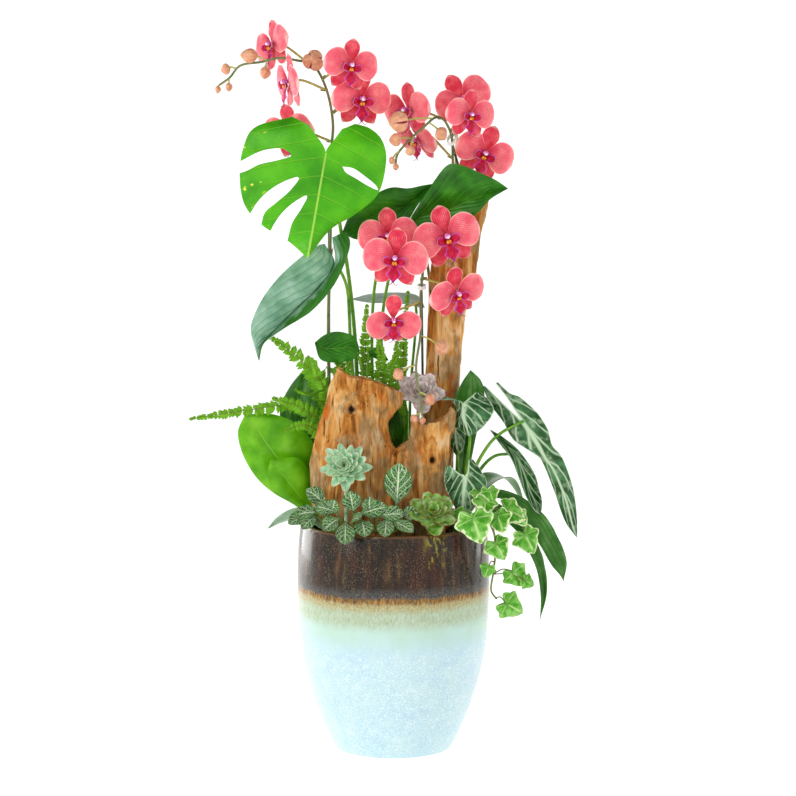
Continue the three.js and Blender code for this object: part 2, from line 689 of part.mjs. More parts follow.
function broadLeftSolid() {
  const blade = frontLeaf(
    [
      [18, 60, 733],
      [20, 39, 730, 38, 721, 34, 708],
      [22, 19, 726, 18, 704, 22, 689],
      [23, -2, 727, -4, 697, 11, 671],
      [24, -20, 720, -25, 691, -7, 664],
      [26, -40, 706, -43, 681, -31, 664],
      [28, -56, 692, -56, 674, -47, 660],
      [30, -66, 668],
    ],
    [-4, -8],
  );
  const petiole = [footOf(ROOTS.broadLeft), [-28, 34, 518], [-22, 32, 612], [-8, 27, 650], [0, 22, 684]];
  return join([blade, stem(rooted(petiole), [2.6, 2])]);
}

function broadRightSolid() {
  const blade = frontLeaf(
    [
      [8, 14, 675],
      [5, 39, 716, 42, 693, 50, 676],
      [2, 66, 754, 71, 699, 79, 678],
      [0, 84, 757, 90, 708, 98, 688],
      [-3, 108, 748, 110, 716, 111, 699],
      [-8, 130, 738, 127, 724, 124, 714],
      [-14, 146, 727],
    ],
    [-8, -8],
  );
  const smallBlade = frontLeaf(
    [
      [14, 4, 440],
      [15, -6, 426, 3, 424, 12, 428],
      [17, -9, 408, 2, 404, 14, 410],
      [19, -4, 388, 2, 386, 9, 390],
      [22, 2, 372],
    ],
    [-2, -2],
  );
  const petiole = [
    footOf(ROOTS.broadRight), [-12, 34, 490], [-16, 31, 535], [-8, 28, 600], [8, 14, 655], [26, 5, 684],
  ];
  const smallPetiole = [[4, 36, 280], [2, 28, 340], [2, 20, 385]];
  return join([blade, smallBlade, stem(rooted(petiole), [2.6, 2]), stem(smallPetiole, [2, 1.6], 5, 3)]);
}

function roundSolid() {
  const blade = frontLeaf(
    [
      [-6, -101, 529],
      [-2, -90, 538, -91, 522, -94, 508],
      [0, -76, 543, -76, 521, -76, 503],
      [1, -60, 541, -60, 522, -62, 504],
      [2, -48, 534, -48, 520, -50, 508],
      [3, -43, 514],
    ],
    [-3, -3],
  );
  const smallBlade = frontLeaf(
    [
      [16, -34, 513],
      [17, -25, 521, -24, 513, -22, 506],
      [16, -15, 518, -15, 511, -15, 504],
      [15, -6, 504],
    ],
    [-2, -2],
  );
  const petiole = [footOf(ROOTS.round), [-34, 10, 440], [-42, 7, 500], [-47, 2, 516]];
  return join([
    blade,
    smallBlade,
    stem(rooted(petiole), [2.2, 1.8]),
    stem([[-34, 10, 445], [-34, 14, 490], [-32, 16.5, 513]], [1.6, 1.5], 5, 3),
  ]);
}

function paleSolid() {
  const blade = frontLeaf(
    [
      [56, -55, 580],
      [58, -33, 585, -33, 581, -33, 577],
      [60, -4, 587, -4, 582, -4, 576],
      [62, 20, 586, 20, 581, 20, 574],
      [64, 34, 581, 34, 576, 34, 570],
      [68, 41, 568],
    ],
    [17, -15],
  );
  const petiole = [footOf(ROOTS.pale), [22, 72, 450], [30, 68, 560], [28, 62, 578]];
  return join([blade, stem(rooted(petiole), [2.4, 1.8])]);
}

function orchidLeftSolid() {
  const large = frontLeaf(
    [
      [-6, -191, 436],
      [-2, -200, 415, -177, 418, -161, 436],
      [2, -197, 392, -163, 396, -135, 428],
      [6, -188, 370, -148, 375, -117, 414],
      [10, -174, 349, -133, 356, -104, 395],
      [14, -154, 331, -120, 336, -99, 371],
      [16, -125, 313, -110, 317, -97, 338],
      [12, -97, 286, -88, 286, -82, 292],
    ],
    [-4, 6],
  );
  const second = frontLeaf(
    [
      [-18, -158, 378],
      [-15, -162, 360, -149, 365, -140, 380],
      [-12, -158, 346, -140, 355, -124, 380],
      [-8, -148, 334, -131, 342, -113, 370],
      [-4, -135, 324, -122, 330, -108, 355],
      [0, -121, 316, -113, 320, -104, 335],
      [8, -97, 288, -90, 284, -84, 288],
    ],
    [-3, 5],
  );
  const upright = frontLeaf(
    [
      [40, -117, 489],
      [39, -133, 470, -117, 467, -100, 480],
      [37, -145, 447, -122, 444, -95, 457],
      [34, -147, 425, -120, 420, -94, 430],
      [28, -136, 390, -112, 380, -94, 385],
      [20, -112, 330, -99, 325, -90, 330],
      [12, -94, 286, -88, 284, -84, 288],
    ],
    [-3, -1],
  );
  return join([large, second, upright, crown(ROOTS.orchidLeft, 294)]);
}

function orchidBackSolid() {
  const face = [0, -0.2, 1];
  const [x, y] = ROOTS.orchidBack;
  const arch = (path, widths, towards = face) =>
    ribbon({ path: [[x, y, 282], ...path], rows: evenly(widths), face: towards, fold: 0.18 });
  return join([
    arch([[20, 118, 322], [38, 150, 340], [52, 186, 322]], [6, 23, 30, 23, 0]),
    arch([[-30, 112, 330], [-66, 130, 352], [-104, 144, 340]], [6, 21, 28, 20, 0]),
    arch([[2, 112, 360], [6, 126, 410], [14, 134, 452]], [6, 19, 25, 17, 0], [0, -1, 0.3]),
    crown(ROOTS.orchidBack, 296),
  ]);
}

function orchidRightSolid() {
  const dark = frontLeaf(
    [
      [22, 100, 491],
      [24, 89, 475, 102, 473, 113, 478],
      [26, 81, 457, 101, 452, 118, 461],
      [28, 80, 434, 97, 429, 116, 436],
      [32, 82, 398, 93, 392, 107, 402],
      [38, 80, 330, 87, 326, 95, 330],
      [40, 81, 284, 86, 283, 91, 284],
    ],
    [-3, -3],
  );
  const strapLong = frontLeaf(
    [
      [41, 84, 284, 87, 288, 91, 292],
      [26, 112, 320, 117, 325, 124, 332],
      [10, 148, 322, 152, 324, 160, 330],
      [0, 162, 300, 176, 308, 191, 309],
      [-4, 178, 283, 190, 293, 204, 293],
      [-8, 190, 266, 200, 275, 212, 278],
      [-12, 204, 242, 212, 253, 220, 261],
      [-15, 215, 229, 219, 238, 224, 243],
      [-18, 220, 221],
    ],
    [-2, -2],
  );
  const strapLow = frontLeaf(
    [
      [46, 90, 286, 93, 290, 96, 294],
      [34, 122, 306, 126, 311, 131, 316],
      [26, 160, 280, 166, 284, 173, 288],
      [20, 178, 250, 184, 253, 192, 254],
      [16, 186, 232, 191, 235, 197, 236],
      [12, 190, 214, 195, 215, 200, 217],
      [8, 192, 192, 196, 193, 199, 195],
      [6, 191, 166],
    ],
    [-2, -2],
  );
  const back = ribbon({
    path: [[86, 42, 282], [112, 66, 330], [146, 92, 340], [176, 112, 300]],
    rows: evenly([5, 18, 22, 15, 0]),
    face: [-0.2, -0.2, 1],
    fold: 0.18,
  });
  return join([dark, strapLong, strapLow, back, crown(ROOTS.orchidRight, 303)]);
}

// Fronds of the fern: half width of the blade, leaflet pairs, the side it faces, and the path of its rib
// from above the crown
const VIEWER = [0, -1, 0.25];
const UPWARD = [0, -0.5, 0.9];
const FRONDS = {
  left: [
    {
      halfWidth: 9, pairs: 11, face: [0, -0.8, 0.6],
      path: [[-70, 22, 350], [-88, 12, 420], [-122, 4, 446], [-191, -4, 441], [-264, -10, 431]],
    },
    {
      halfWidth: 13, pairs: 8, face: VIEWER,
      path: [[-62, 22, 380], [-84, 6, 462], [-120, -6, 508], [-160, -16, 539]],
    },
    {
      halfWidth: 11, pairs: 7, face: VIEWER,
      path: [[-72, 12, 350], [-92, 0, 422], [-122, -10, 447], [-156, -22, 460]],
    },
    {
      halfWidth: 13, pairs: 6, face: VIEWER,
      path: [[-60, 34, 370], [-84, 30, 440], [-102, 26, 472], [-116, 20, 500]],
    },
  ],
  middle: [
    {
      halfWidth: 9, pairs: 9, face: VIEWER,
      path: [[-30, 56, 360], [-34, 40, 440], [-36, 22, 500], [-36, 12, 545], [-34, 6, 578]],
    },
    {
      halfWidth: 11, pairs: 7, face: VIEWER,
      path: [[-42, 62, 350], [-56, 58, 430], [-66, 52, 480], [-76, 44, 526]],
    },
    {
      halfWidth: 13, pairs: 7, face: UPWARD,
      path: [[-32, 66, 350], [-44, 80, 420], [-62, 100, 470], [-90, 114, 486]],
    },
  ],
  right: [
    {
      halfWidth: 9, pairs: 7, face: VIEWER,
      path: [[8, 52, 360], [6, 26, 440], [2, 14, 490], [5, 8, 532]],
    },
    {
      halfWidth: 6, pairs: 7, face: VIEWER,
      path: [[10, 60, 370], [12, 58, 480], [15, 44, 550], [19, 28, 594]],
    },
  ],
};

function fernSolid(root, fronds) {
  const top = [root[0], root[1], 292];
  const pieces = fronds.map((blade) => frond({ ...blade, path: [top, ...blade.path] }));
  return join([...pieces, crown(root, 298)]);
}

// A thick pointed succulent leaf along +X of its own frame.
function fleshyLeaf(length, width, thick) {
  const section = (out, half, deep, lift) => [
    point([out, -half, lift]),
    point([out, 0, lift - deep]),
    point([out, half, lift]),
    point([out, 0, lift + deep * 0.4]),
  ];
  const root = section(length * 0.06, width * 0.35, thick * 0.7, 0);
  const widest = section(length * 0.66, width, thick, length * 0.05);
  const tip = point([length, 0, length * 0.16]);
  return loft([root, widest, [tip]]);
}

// A rosette: leaves set by the golden angle, the inner ones shorter and steeper.
const GOLDEN_ANGLE = Math.PI * (3 - Math.sqrt(5));
function rosetteSolid({ root, at, looks, radius, leaves, broad, route }) {
  const frame = bloomFrame({ at, looks });
  const thick = root[2] - 0.4;
  const heart = bead([0, 0, -2], [radius * 0.26, radius * 0.26, radius * 0.22], 6, 4);
  const pieces = [
    stem(rooted([footOf(root), ...route, at]), [thick, thick]),
    heart.transform(frame.toArray()),
  ];
  for (let i = 0; i < leaves; i++) {
    const share = i / (leaves - 1);
    const length = radius * (1 - 0.66 * share);
    const rise = radians(6 + 62 * share);
    const turn = new THREE.Matrix4()
      .makeRotationZ(i * GOLDEN_ANGLE)
      .multiply(new THREE.Matrix4().makeTranslation(0, 0, -4 + 8 * share))
      .multiply(new THREE.Matrix4().makeRotationY(-rise));
    const leaf = fleshyLeaf(length, radius * broad * (1 - 0.5 * share), radius * 0.09);
    pieces.push(leaf.transform(frame.clone().multiply(turn).toArray()));
  }
  return join(pieces);
}

const ROSETTES = {
  blue: {
    root: ROOTS.blueRosette, route: [[-60, -63, 340]], at: [-61, -68, 377], looks: [-0.12, -0.92, 0.38],
    radius: 35, leaves: 12, broad: 0.38,
  },
  green: {
    root: ROOTS.greenRosette, route: [[47, -86, 300]], at: [50, -96, 322], looks: [0.05, -0.72, 0.69],
    radius: 35, leaves: 11, broad: 0.38,
  },
  purple: {
    root: ROOTS.purpleRosette, route: [[30, 12, 400], [33, -4, 450]], at: [34, -22, 468],
    looks: [0.1, -0.8, 0.6], radius: 34, leaves: 11, broad: 0.36,
  },
};

// Small net-veined leaves: [base point, tip point, half width, side it faces].
const FITTONIA_LEAVES = [
  [[-86, -72, 318], [-122, -62, 314], 9, [0, -0.6, 0.8]],
  [[-84, -66, 324], [-106, -62, 343], 8, [0.3, -0.9, 0.3]],
  [[-70, -84, 318], [-94, -80, 326], 8, [0, -0.8, 0.6]],
  [[-50, -84, 318], [-54, -90, 344], 9, [0, -1, 0.2]],
  [[-46, -92, 316], [-14, -92, 327], 9, [0, -0.8, 0.6]],
  [[4, -80, 322], [7, -74, 372], 13, [0, -1, 0.1]],
  [[-60, -100, 312], [-60, -132, 293], 9, [0, -0.7, 0.7]],
  [[-22, -98, 316], [8, -98, 320], 8, [0, -0.8, 0.6]],
  [[-4, -100, 312], [20, -120, 304], 7, [0, -0.6, 0.8]],
];

function fittoniaSolid() {
  const [x, y] = ROOTS.fittonia;
  const runner = [[x - 30, y + 22, 292], [x - 8, y + 4, 296], [x + 28, y - 4, 298], [x + 56, y - 2, 298]];
  const pieces = [crown(ROOTS.fittonia, 298), stem(runner, [2, 2])];
  for (const [base, tip, halfWidth, face] of FITTONIA_LEAVES) {
    const middle = base.map((c, i) => (c + tip[i]) / 2 + (i === 2 ? 2.5 : 0));
    const rows = [[0, 1.3], [0.42, halfWidth * 0.7], [0.68, halfWidth], [1, 0]];
    const path = [nearest(runner, base), base, middle, tip];
    pieces.push(ribbon({ path, rows, face, fold: 0.12, thickness: BLADE }));
  }
  pieces.push(
    ribbon({
      path: [runner[0], [-104, -54, 308], [-124, -42, 313], [-146, -30, 303], [-162, -22, 290]],
      rows: [[0, 2], [0.3, 6], [0.6, 9], [0.85, 7], [1, 0]],
      face: [0, -0.7, 0.7],
      fold: 0.1,
      thickness: BLADE,
    }),
  );
  return join(pieces);
}

// Arrow-shaped leaves with waved margins, row by row from the front
const ALOCASIA_LEAVES = [
  {
    edgeDepth: [4, 4],
    rows: [
      [6, 115, 471, 118, 472, 132, 476, 135, 476],
      [4, 125, 448, 136, 455, 146, 458, 149, 463],
      [2, 134, 436, 152, 440, 156, 442, 165, 456],
      [-2, 144, 422, 166, 427, 166, 427, 185, 438],
      [-4, 153, 405, 184, 401, 199, 417],
      [-6, 169, 393, 197, 378, 205, 396],
      [-8, 187, 384, 209, 358, 219, 378],
      [-11, 206, 342, 223, 324, 232, 340],
      [-14, 221, 300, 231, 294, 237, 303],
      [-16, 237, 277],
    ],
    petiole: [[84, -6, 290], [98, -10, 350], [128, -6, 403], [158, -4, 423], [168, -3, 427]],
  },
  {
    edgeDepth: [5, 5],
    rows: [
      [-18, 57, 458, 61, 457, 106, 466, 112, 465],
      [-22, 72, 459, 84, 456, 93, 456, 122, 457],
      [-26, 82, 443, 89, 452, 89, 452, 129, 443],
      [-30, 77, 426, 88, 440, 120, 428],
      [-34, 85, 419, 92, 428, 108, 417],
      [-37, 97, 412],
    ],
    petiole: [[84, -8, 290], [95, -22, 378], [98, -28, 412], [91, -27, 448]],
  },
  {
    edgeDepth: [4, 4],
    rows: [
      [-62, 67, 377, 72, 377, 96, 385, 101, 385],
      [-64, 65, 363, 84, 368, 94, 370, 111, 372],
      [-66, 67, 348, 91, 364, 91, 364, 119, 354],
      [-68, 74, 332, 89, 345, 110, 338],
      [-70, 81, 321, 88, 328, 99, 324],
      [-71, 86, 312],
    ],
    petiole: [[84, -10, 290], [90, -32, 335], [92, -54, 360], [91, -66, 364]],
  },
  {
    edgeDepth: [-14, -6],
    rows: [
      [8, 125, 415],
      [6, 136, 400, 139, 402, 143, 405],
      [4, 152, 379, 157, 383, 163, 388],
      [2, 161, 357, 168, 361, 182, 360],
      [0, 171, 331, 177, 335, 188, 340],
      [-2, 182, 313, 186, 317, 192, 324],
      [-4, 191, 305],
    ],
    petiole: [[84, -4, 290], [104, 2, 350], [130, 6, 380], [156, 4, 384]],
  },
  {
    edgeDepth: [3, 3],
    rows: [
      [16, 78, 442],
      [15, 70, 428, 80, 424, 90, 428],
      [14, 70, 408, 81, 404, 93, 408],
      [12, 76, 390, 83, 388, 91, 391],
      [10, 84, 376],
    ],
    petiole: [[84, -2, 290], [84, 8, 340], [83, 11, 388]],
  },
];

function alocasiaSolid() {
  const pieces = ALOCASIA_LEAVES.flatMap(({ rows, edgeDepth, petiole }) => [
    frontLeaf(rows, edgeDepth),
    stem(petiole, [2.6, 1.8], 5),
  ]);
  return join([...pieces, crown(ROOTS.alocasia, 296)]);
}

// Ivy: the vines, and the leaves with the point near a vine where each one's stalk starts
const IVY_VINES = [
  [
    [92, -52, 284], [100, -66, 306], [112, -86, 318], [126, -98, 300], [129, -86, 268], [127, -72, 240],
    [125, -64, 216], [132, -64, 206],
  ],
  [[92, -52, 288], [105, -72, 313], [128, -80, 326], [148, -80, 318], [162, -78, 304]],
];
const IVY_LEAVES = [
  { at: [101, -118, 316], looks: [-0.1, -0.9, 0.35], lean: 20, size: 21, from: [112, -86, 318] },
  { at: [116, -92, 336], looks: [0.1, -0.7, 0.6], lean: -10, size: 14, from: [112, -86, 318] },
  { at: [145, -90, 325], looks: [0.2, -0.75, 0.6], lean: 60, size: 18, from: [138, -80, 323] },
  { at: [108, -78, 346], looks: [0, -0.5, 0.8], lean: 0, size: 10, from: [104, -74, 312] },
  { at: [168, -84, 290], looks: [0.3, -0.85, 0.3], lean: 25, size: 17, from: [160, -78, 306] },
  { at: [130, -100, 282], looks: [0.05, -0.9, 0.3], lean: 30, size: 15, from: [127, -96, 292] },
  { at: [154, -72, 241], looks: [0.15, -0.95, 0.1], lean: 40, size: 15, from: [127, -72, 240] },
  { at: [169, -74, 231], looks: [0.3, -0.9, 0.2], lean: 60, size: 9, from: [127, -72, 240] },
  { at: [146, -70, 200], looks: [0.1, -0.95, 0.15], lean: 60, size: 16, from: [131, -64, 207] },
];
// One half of a lobed ivy leaf as [across, along], from the notch at its stalk to its tip
const IVY_HALF = [[0, -0.3], [0.5, -0.65], [1, -0.05], [0.5, 0.4], [0, 1.2]];

function ivyLeaf({ at, looks, lean, size, from }) {
  const half = IVY_HALF.map(([across, along]) => [across * size, -along * size]);
  const mirrored = half.slice(1, -1).reverse().map(([across, along]) => [-across, along]);
  const outline = [...half, ...mirrored].map(([x, y]) => new THREE.Vector3(x, y, -0.12 * Math.abs(x)));
  const points = [new THREE.Vector3(0, 0, 0.3), ...outline];
  const triangles = outline.map((_, i) => [0, i + 1, ((i + 1) % outline.length) + 1]);
  const frame = bloomFrame({ at, looks, lean });
  const starts = IVY_VINES.map((path) => point(nearest(path, from)));
  const start = starts.reduce((a, b) => (a.distanceTo(point(from)) < b.distanceTo(point(from)) ? a : b));
  const end = new THREE.Vector3(size * 0.15, size * 0.3, 0).applyMatrix4(frame);
  const blade = sheet(points.map((p) => p.applyMatrix4(frame)), triangles, BLADE);
  return blade.add(stem([start.toArray(), end.toArray()], [0.9, 0.9], 3, 1));
}

function ivySolid() {
  const vines = IVY_VINES.map((path) => stem(path, [1.5, 1.1], 3));
  return join([crown(ROOTS.ivy, 296), ...vines, ...IVY_LEAVES.map(ivyLeaf)]);
}

function spikeSolid(side) {
  const { path, buds } = SPIKES[side];
  const whole = rooted(path);
  const stalks = BLOOMS[side].map((bloom) => stalkTo(bloom, whole));
  const tips = buds.flatMap((bud) => budOn(whole, bud));
  return join([stem(whole, [2.6, 1.4], 5), ...stalks, ...tips]);
}

// The scene graph: one named mesh for each piece
const arrangement = new THREE.Group();
arrangement.name = "moth_orchid_arrangement";

function place(name, finish, whole) {
  const mesh = whole.getMesh();
  const geometry = new THREE.BufferGeometry();
  const places = new Float32Array(mesh.numVert * 3);
  for (let i = 0; i < mesh.numVert; i++)
    for (let axis = 0; axis < 3; axis++)
      places[i * 3 + axis] = mesh.vertProperties[i * mesh.numProp + axis];
  geometry.setAttribute("position", new THREE.BufferAttribute(places, 3));
  geometry.setIndex(new THREE.BufferAttribute(new Uint32Array(mesh.triVerts), 1));
  geometry.computeVertexNormals();
  const [color, roughness] = FINISH[finish];
  const material = new THREE.MeshStandardMaterial({ color, roughness, metalness: 0, flatShading: true });
  const made = new THREE.Mesh(geometry, material);
  made.name = name;
  arrangement.add(made);
}

place("pot", "glaze", potSolid());
place("soil", "soil", soilSolid());
place("driftwood_front", "driftwood", frontWoodSolid());
place("driftwood_tall", "driftwood", driftwood(TALL_WOOD));

for (const side of ["left", "right", "front"]) {
  place(`spike_${side}`, "stem", spikeSolid(side));
  place(`stake_${side}`, "stake", stem(rooted(STAKES[side]), [1.6, 1.6], 4));
  BLOOMS[side].forEach((bloom, i) => {
    const frame = bloomFrame(bloom).toArray();
    place(`bloom_${side}_${i + 1}`, "petal", bloomSolid(bloom).transform(frame));
    place(`lip_${side}_${i + 1}`, "lip", lipSolid().transform(frame));
  });
}
for (const side of ["right", "front"]) place(`clip_${side}`, "clip", clipRing(side));

place("monstera_leaf", "monstera", monsteraSolid());
place("silver_leaf", "silver", silverSolid());
place("broad_leaf_left", "darkLeaf", broadLeftSolid());
place("broad_leaf_right", "darkLeaf", broadRightSolid());
place("round_leaf", "darkLeaf", roundSolid());
place("pale_leaf", "pale", paleSolid());
place("orchid_leaves_left", "orchidLeaf", orchidLeftSolid());
place("orchid_leaves_back", "orchidLeaf", orchidBackSolid());
place("orchid_leaves_right", "orchidLeaf", orchidRightSolid());
for (const side of ["left", "middle", "right"]) {
  const root = { left: ROOTS.fernLeft, middle: ROOTS.fernMiddle, right: ROOTS.fernRight }[side];
  place(`fern_${side}`, "fern", fernSolid(root, FRONDS[side]));
}
for (const tint of ["blue", "green", "purple"])
  place(`echeveria_${tint}`, `${tint}Rosette`, rosetteSolid(ROSETTES[tint]));
place("fittonia", "fittonia", fittoniaSolid());
place("alocasia", "alocasia", alocasiaSolid());
place("ivy", "ivy", ivySolid());

export default arrangement;
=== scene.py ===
# %% [markdown]
# # A potted moth orchid
# The arrangement's measured solids come in first. They give each piece its place and its size, and
# each finer piece that is made here stands for one of them. All the numbers are millimetres in the
# solids' own frame, with the origin under the pot, +Z up and the viewer on the -Y side. They turn
# into metres when a mesh is made.

import bpy
import numpy as np
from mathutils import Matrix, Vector, noise


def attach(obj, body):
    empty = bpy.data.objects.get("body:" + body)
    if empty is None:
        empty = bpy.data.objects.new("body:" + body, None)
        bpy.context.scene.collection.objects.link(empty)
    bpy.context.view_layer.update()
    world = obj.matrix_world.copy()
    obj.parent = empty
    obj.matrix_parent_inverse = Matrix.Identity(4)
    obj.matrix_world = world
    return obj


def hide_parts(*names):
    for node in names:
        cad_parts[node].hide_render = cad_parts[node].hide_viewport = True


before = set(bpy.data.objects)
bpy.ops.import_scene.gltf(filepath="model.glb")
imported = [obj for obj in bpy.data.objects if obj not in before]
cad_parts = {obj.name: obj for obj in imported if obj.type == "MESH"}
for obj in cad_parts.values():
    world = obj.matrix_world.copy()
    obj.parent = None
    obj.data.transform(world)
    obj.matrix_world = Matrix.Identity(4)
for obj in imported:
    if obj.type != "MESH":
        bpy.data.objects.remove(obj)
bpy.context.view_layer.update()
MM = 0.001

# %% [markdown]
# The photograph fixes the view. A long lens far from the plant keeps its sides parallel, as in a
# catalogue picture. The camera stands at the height of the upper flowers and looks a little down,
# so that the pot's rim shows as a shallow ellipse.

# %% Camera at the photograph's angle
CAMERA_PLACE = (0.006, -3.570, 0.870)
LOOKS_DOWN = 6.6
camera = bpy.data.objects.new("camera", bpy.data.cameras.new("camera"))
camera.data.lens = 126.1
camera.data.sensor_width = 36
camera.location = CAMERA_PLACE
camera.rotation_euler = (np.radians(90 - LOOKS_DOWN), 0, 0)
bpy.context.scene.collection.objects.link(camera)
bpy.context.scene.camera = camera
print("camera at", CAMERA_PLACE)

# %% [markdown]
# Every surface here is a grid of points that is worked out with arrays and then joined to faces.
# That is more work than a modifier, but a leaf made this way knows how far along and how far across
# each of its points lies. Those two numbers are stored with the mesh, and the veins are drawn from
# them.


# %% Curves and grids
def spline(rows, keys):
    """Rows of numbers as a rounded line, read at the keys: 0 is the first row, 1 the second, and so on."""
    table = np.array(rows, float)
    table = np.concatenate([2 * table[:1] - table[1:2], table, 2 * table[-1:] - table[-2:-1]])
    keys = np.clip(np.asarray(keys, float), 0, len(rows) - 1)
    first = np.minimum(keys.astype(int), len(rows) - 2)
    t = (keys - first).reshape((-1,) + (1,) * (table.ndim - 1))
    a, b, c, d = (table[first + k] for k in range(4))
    return b + t / 2 * (c - a + t * (2 * a - 5 * b + 4 * c - d + t * (3 * (b - c) + d - a)))


def smooth_path(points, count):
    """A rounded line through the points as evenly spaced points. Bends stay tight where points are close."""
    p = np.array(points, float)
    p = np.vstack([2 * p[0] - p[1], p, 2 * p[-1] - p[-2]])
    fine = []
    for i in range(1, len(p) - 2):
        gaps = np.linalg.norm(np.diff(p[i - 1:i + 3], axis=0), axis=1) ** 0.5
        k = np.concatenate([[0], np.cumsum(np.maximum(gaps, 1e-6))])
        t = np.linspace(k[1], k[2], 12, endpoint=False)[:, None]
        q = [p[i - 1 + j] for j in range(4)]
        for level in (1, 2):
            q = [
                ((k[j + level] - t) * q[j] + (t - k[j]) * q[j + 1]) / (k[j + level] - k[j])
                for j in range(len(q) - 1)
            ]
        fine.append(((k[2] - t) * q[0] + (t - k[1]) * q[1]) / (k[2] - k[1]))
    fine = np.vstack(fine + [p[-2:-1]])
    run = np.concatenate([[0], np.cumsum(np.linalg.norm(np.diff(fine, axis=0), axis=1))])
    even = np.linspace(0, run[-1], count)
    return np.stack([np.interp(even, run, fine[:, axis]) for axis in range(3)], axis=1)


def grid_faces(rows, columns, closed=False):
    """The triangles of a grid of points. A closed grid also joins its last column to its first."""
    i, j = np.meshgrid(np.arange(rows - 1), np.arange(columns if closed else columns - 1), indexing="ij")
    a, b = i * columns + j, i * columns + (j + 1) % columns
    c, d = b + columns, a + columns
    return np.concatenate([np.stack([a, b, c], -1), np.stack([a, c, d], -1)]).reshape(-1, 3)


def rib_frame(line, face):
    """Along, across and up from a rib line at each point. face is the side that the blade looks to."""
    way = np.gradient(line, axis=0)
    way /= np.linalg.norm(way, axis=1, keepdims=True)
    over = np.cross(way, np.array(face, float) / np.linalg.norm(face))
    over /= np.linalg.norm(over, axis=1, keepdims=True)
    return way, over, np.cross(over, way)


def lumps(points, size, seed=0.0):
    """Smooth random heights from -1 to 1 at the points, in lumps of about that size."""
    flat = np.asarray(points, float).reshape(-1, 3) / size + (seed, seed * 0.7, seed * 1.3)
    return np.array([noise.noise(Vector(p)) for p in flat]).reshape(np.shape(points)[:-1])


print("a grid of 3 by 4 points has", len(grid_faces(3, 4)), "triangles")

# %% [markdown]
# A piece can hold many surfaces, such as all the leaflets of a fern. They are gathered first and
# made into one object at the end. Thin surfaces get a back face and a rim here, because a leaf
# without thickness looks like paper and has no edge to catch the light. A third number with each
# point says whether it is on the back.


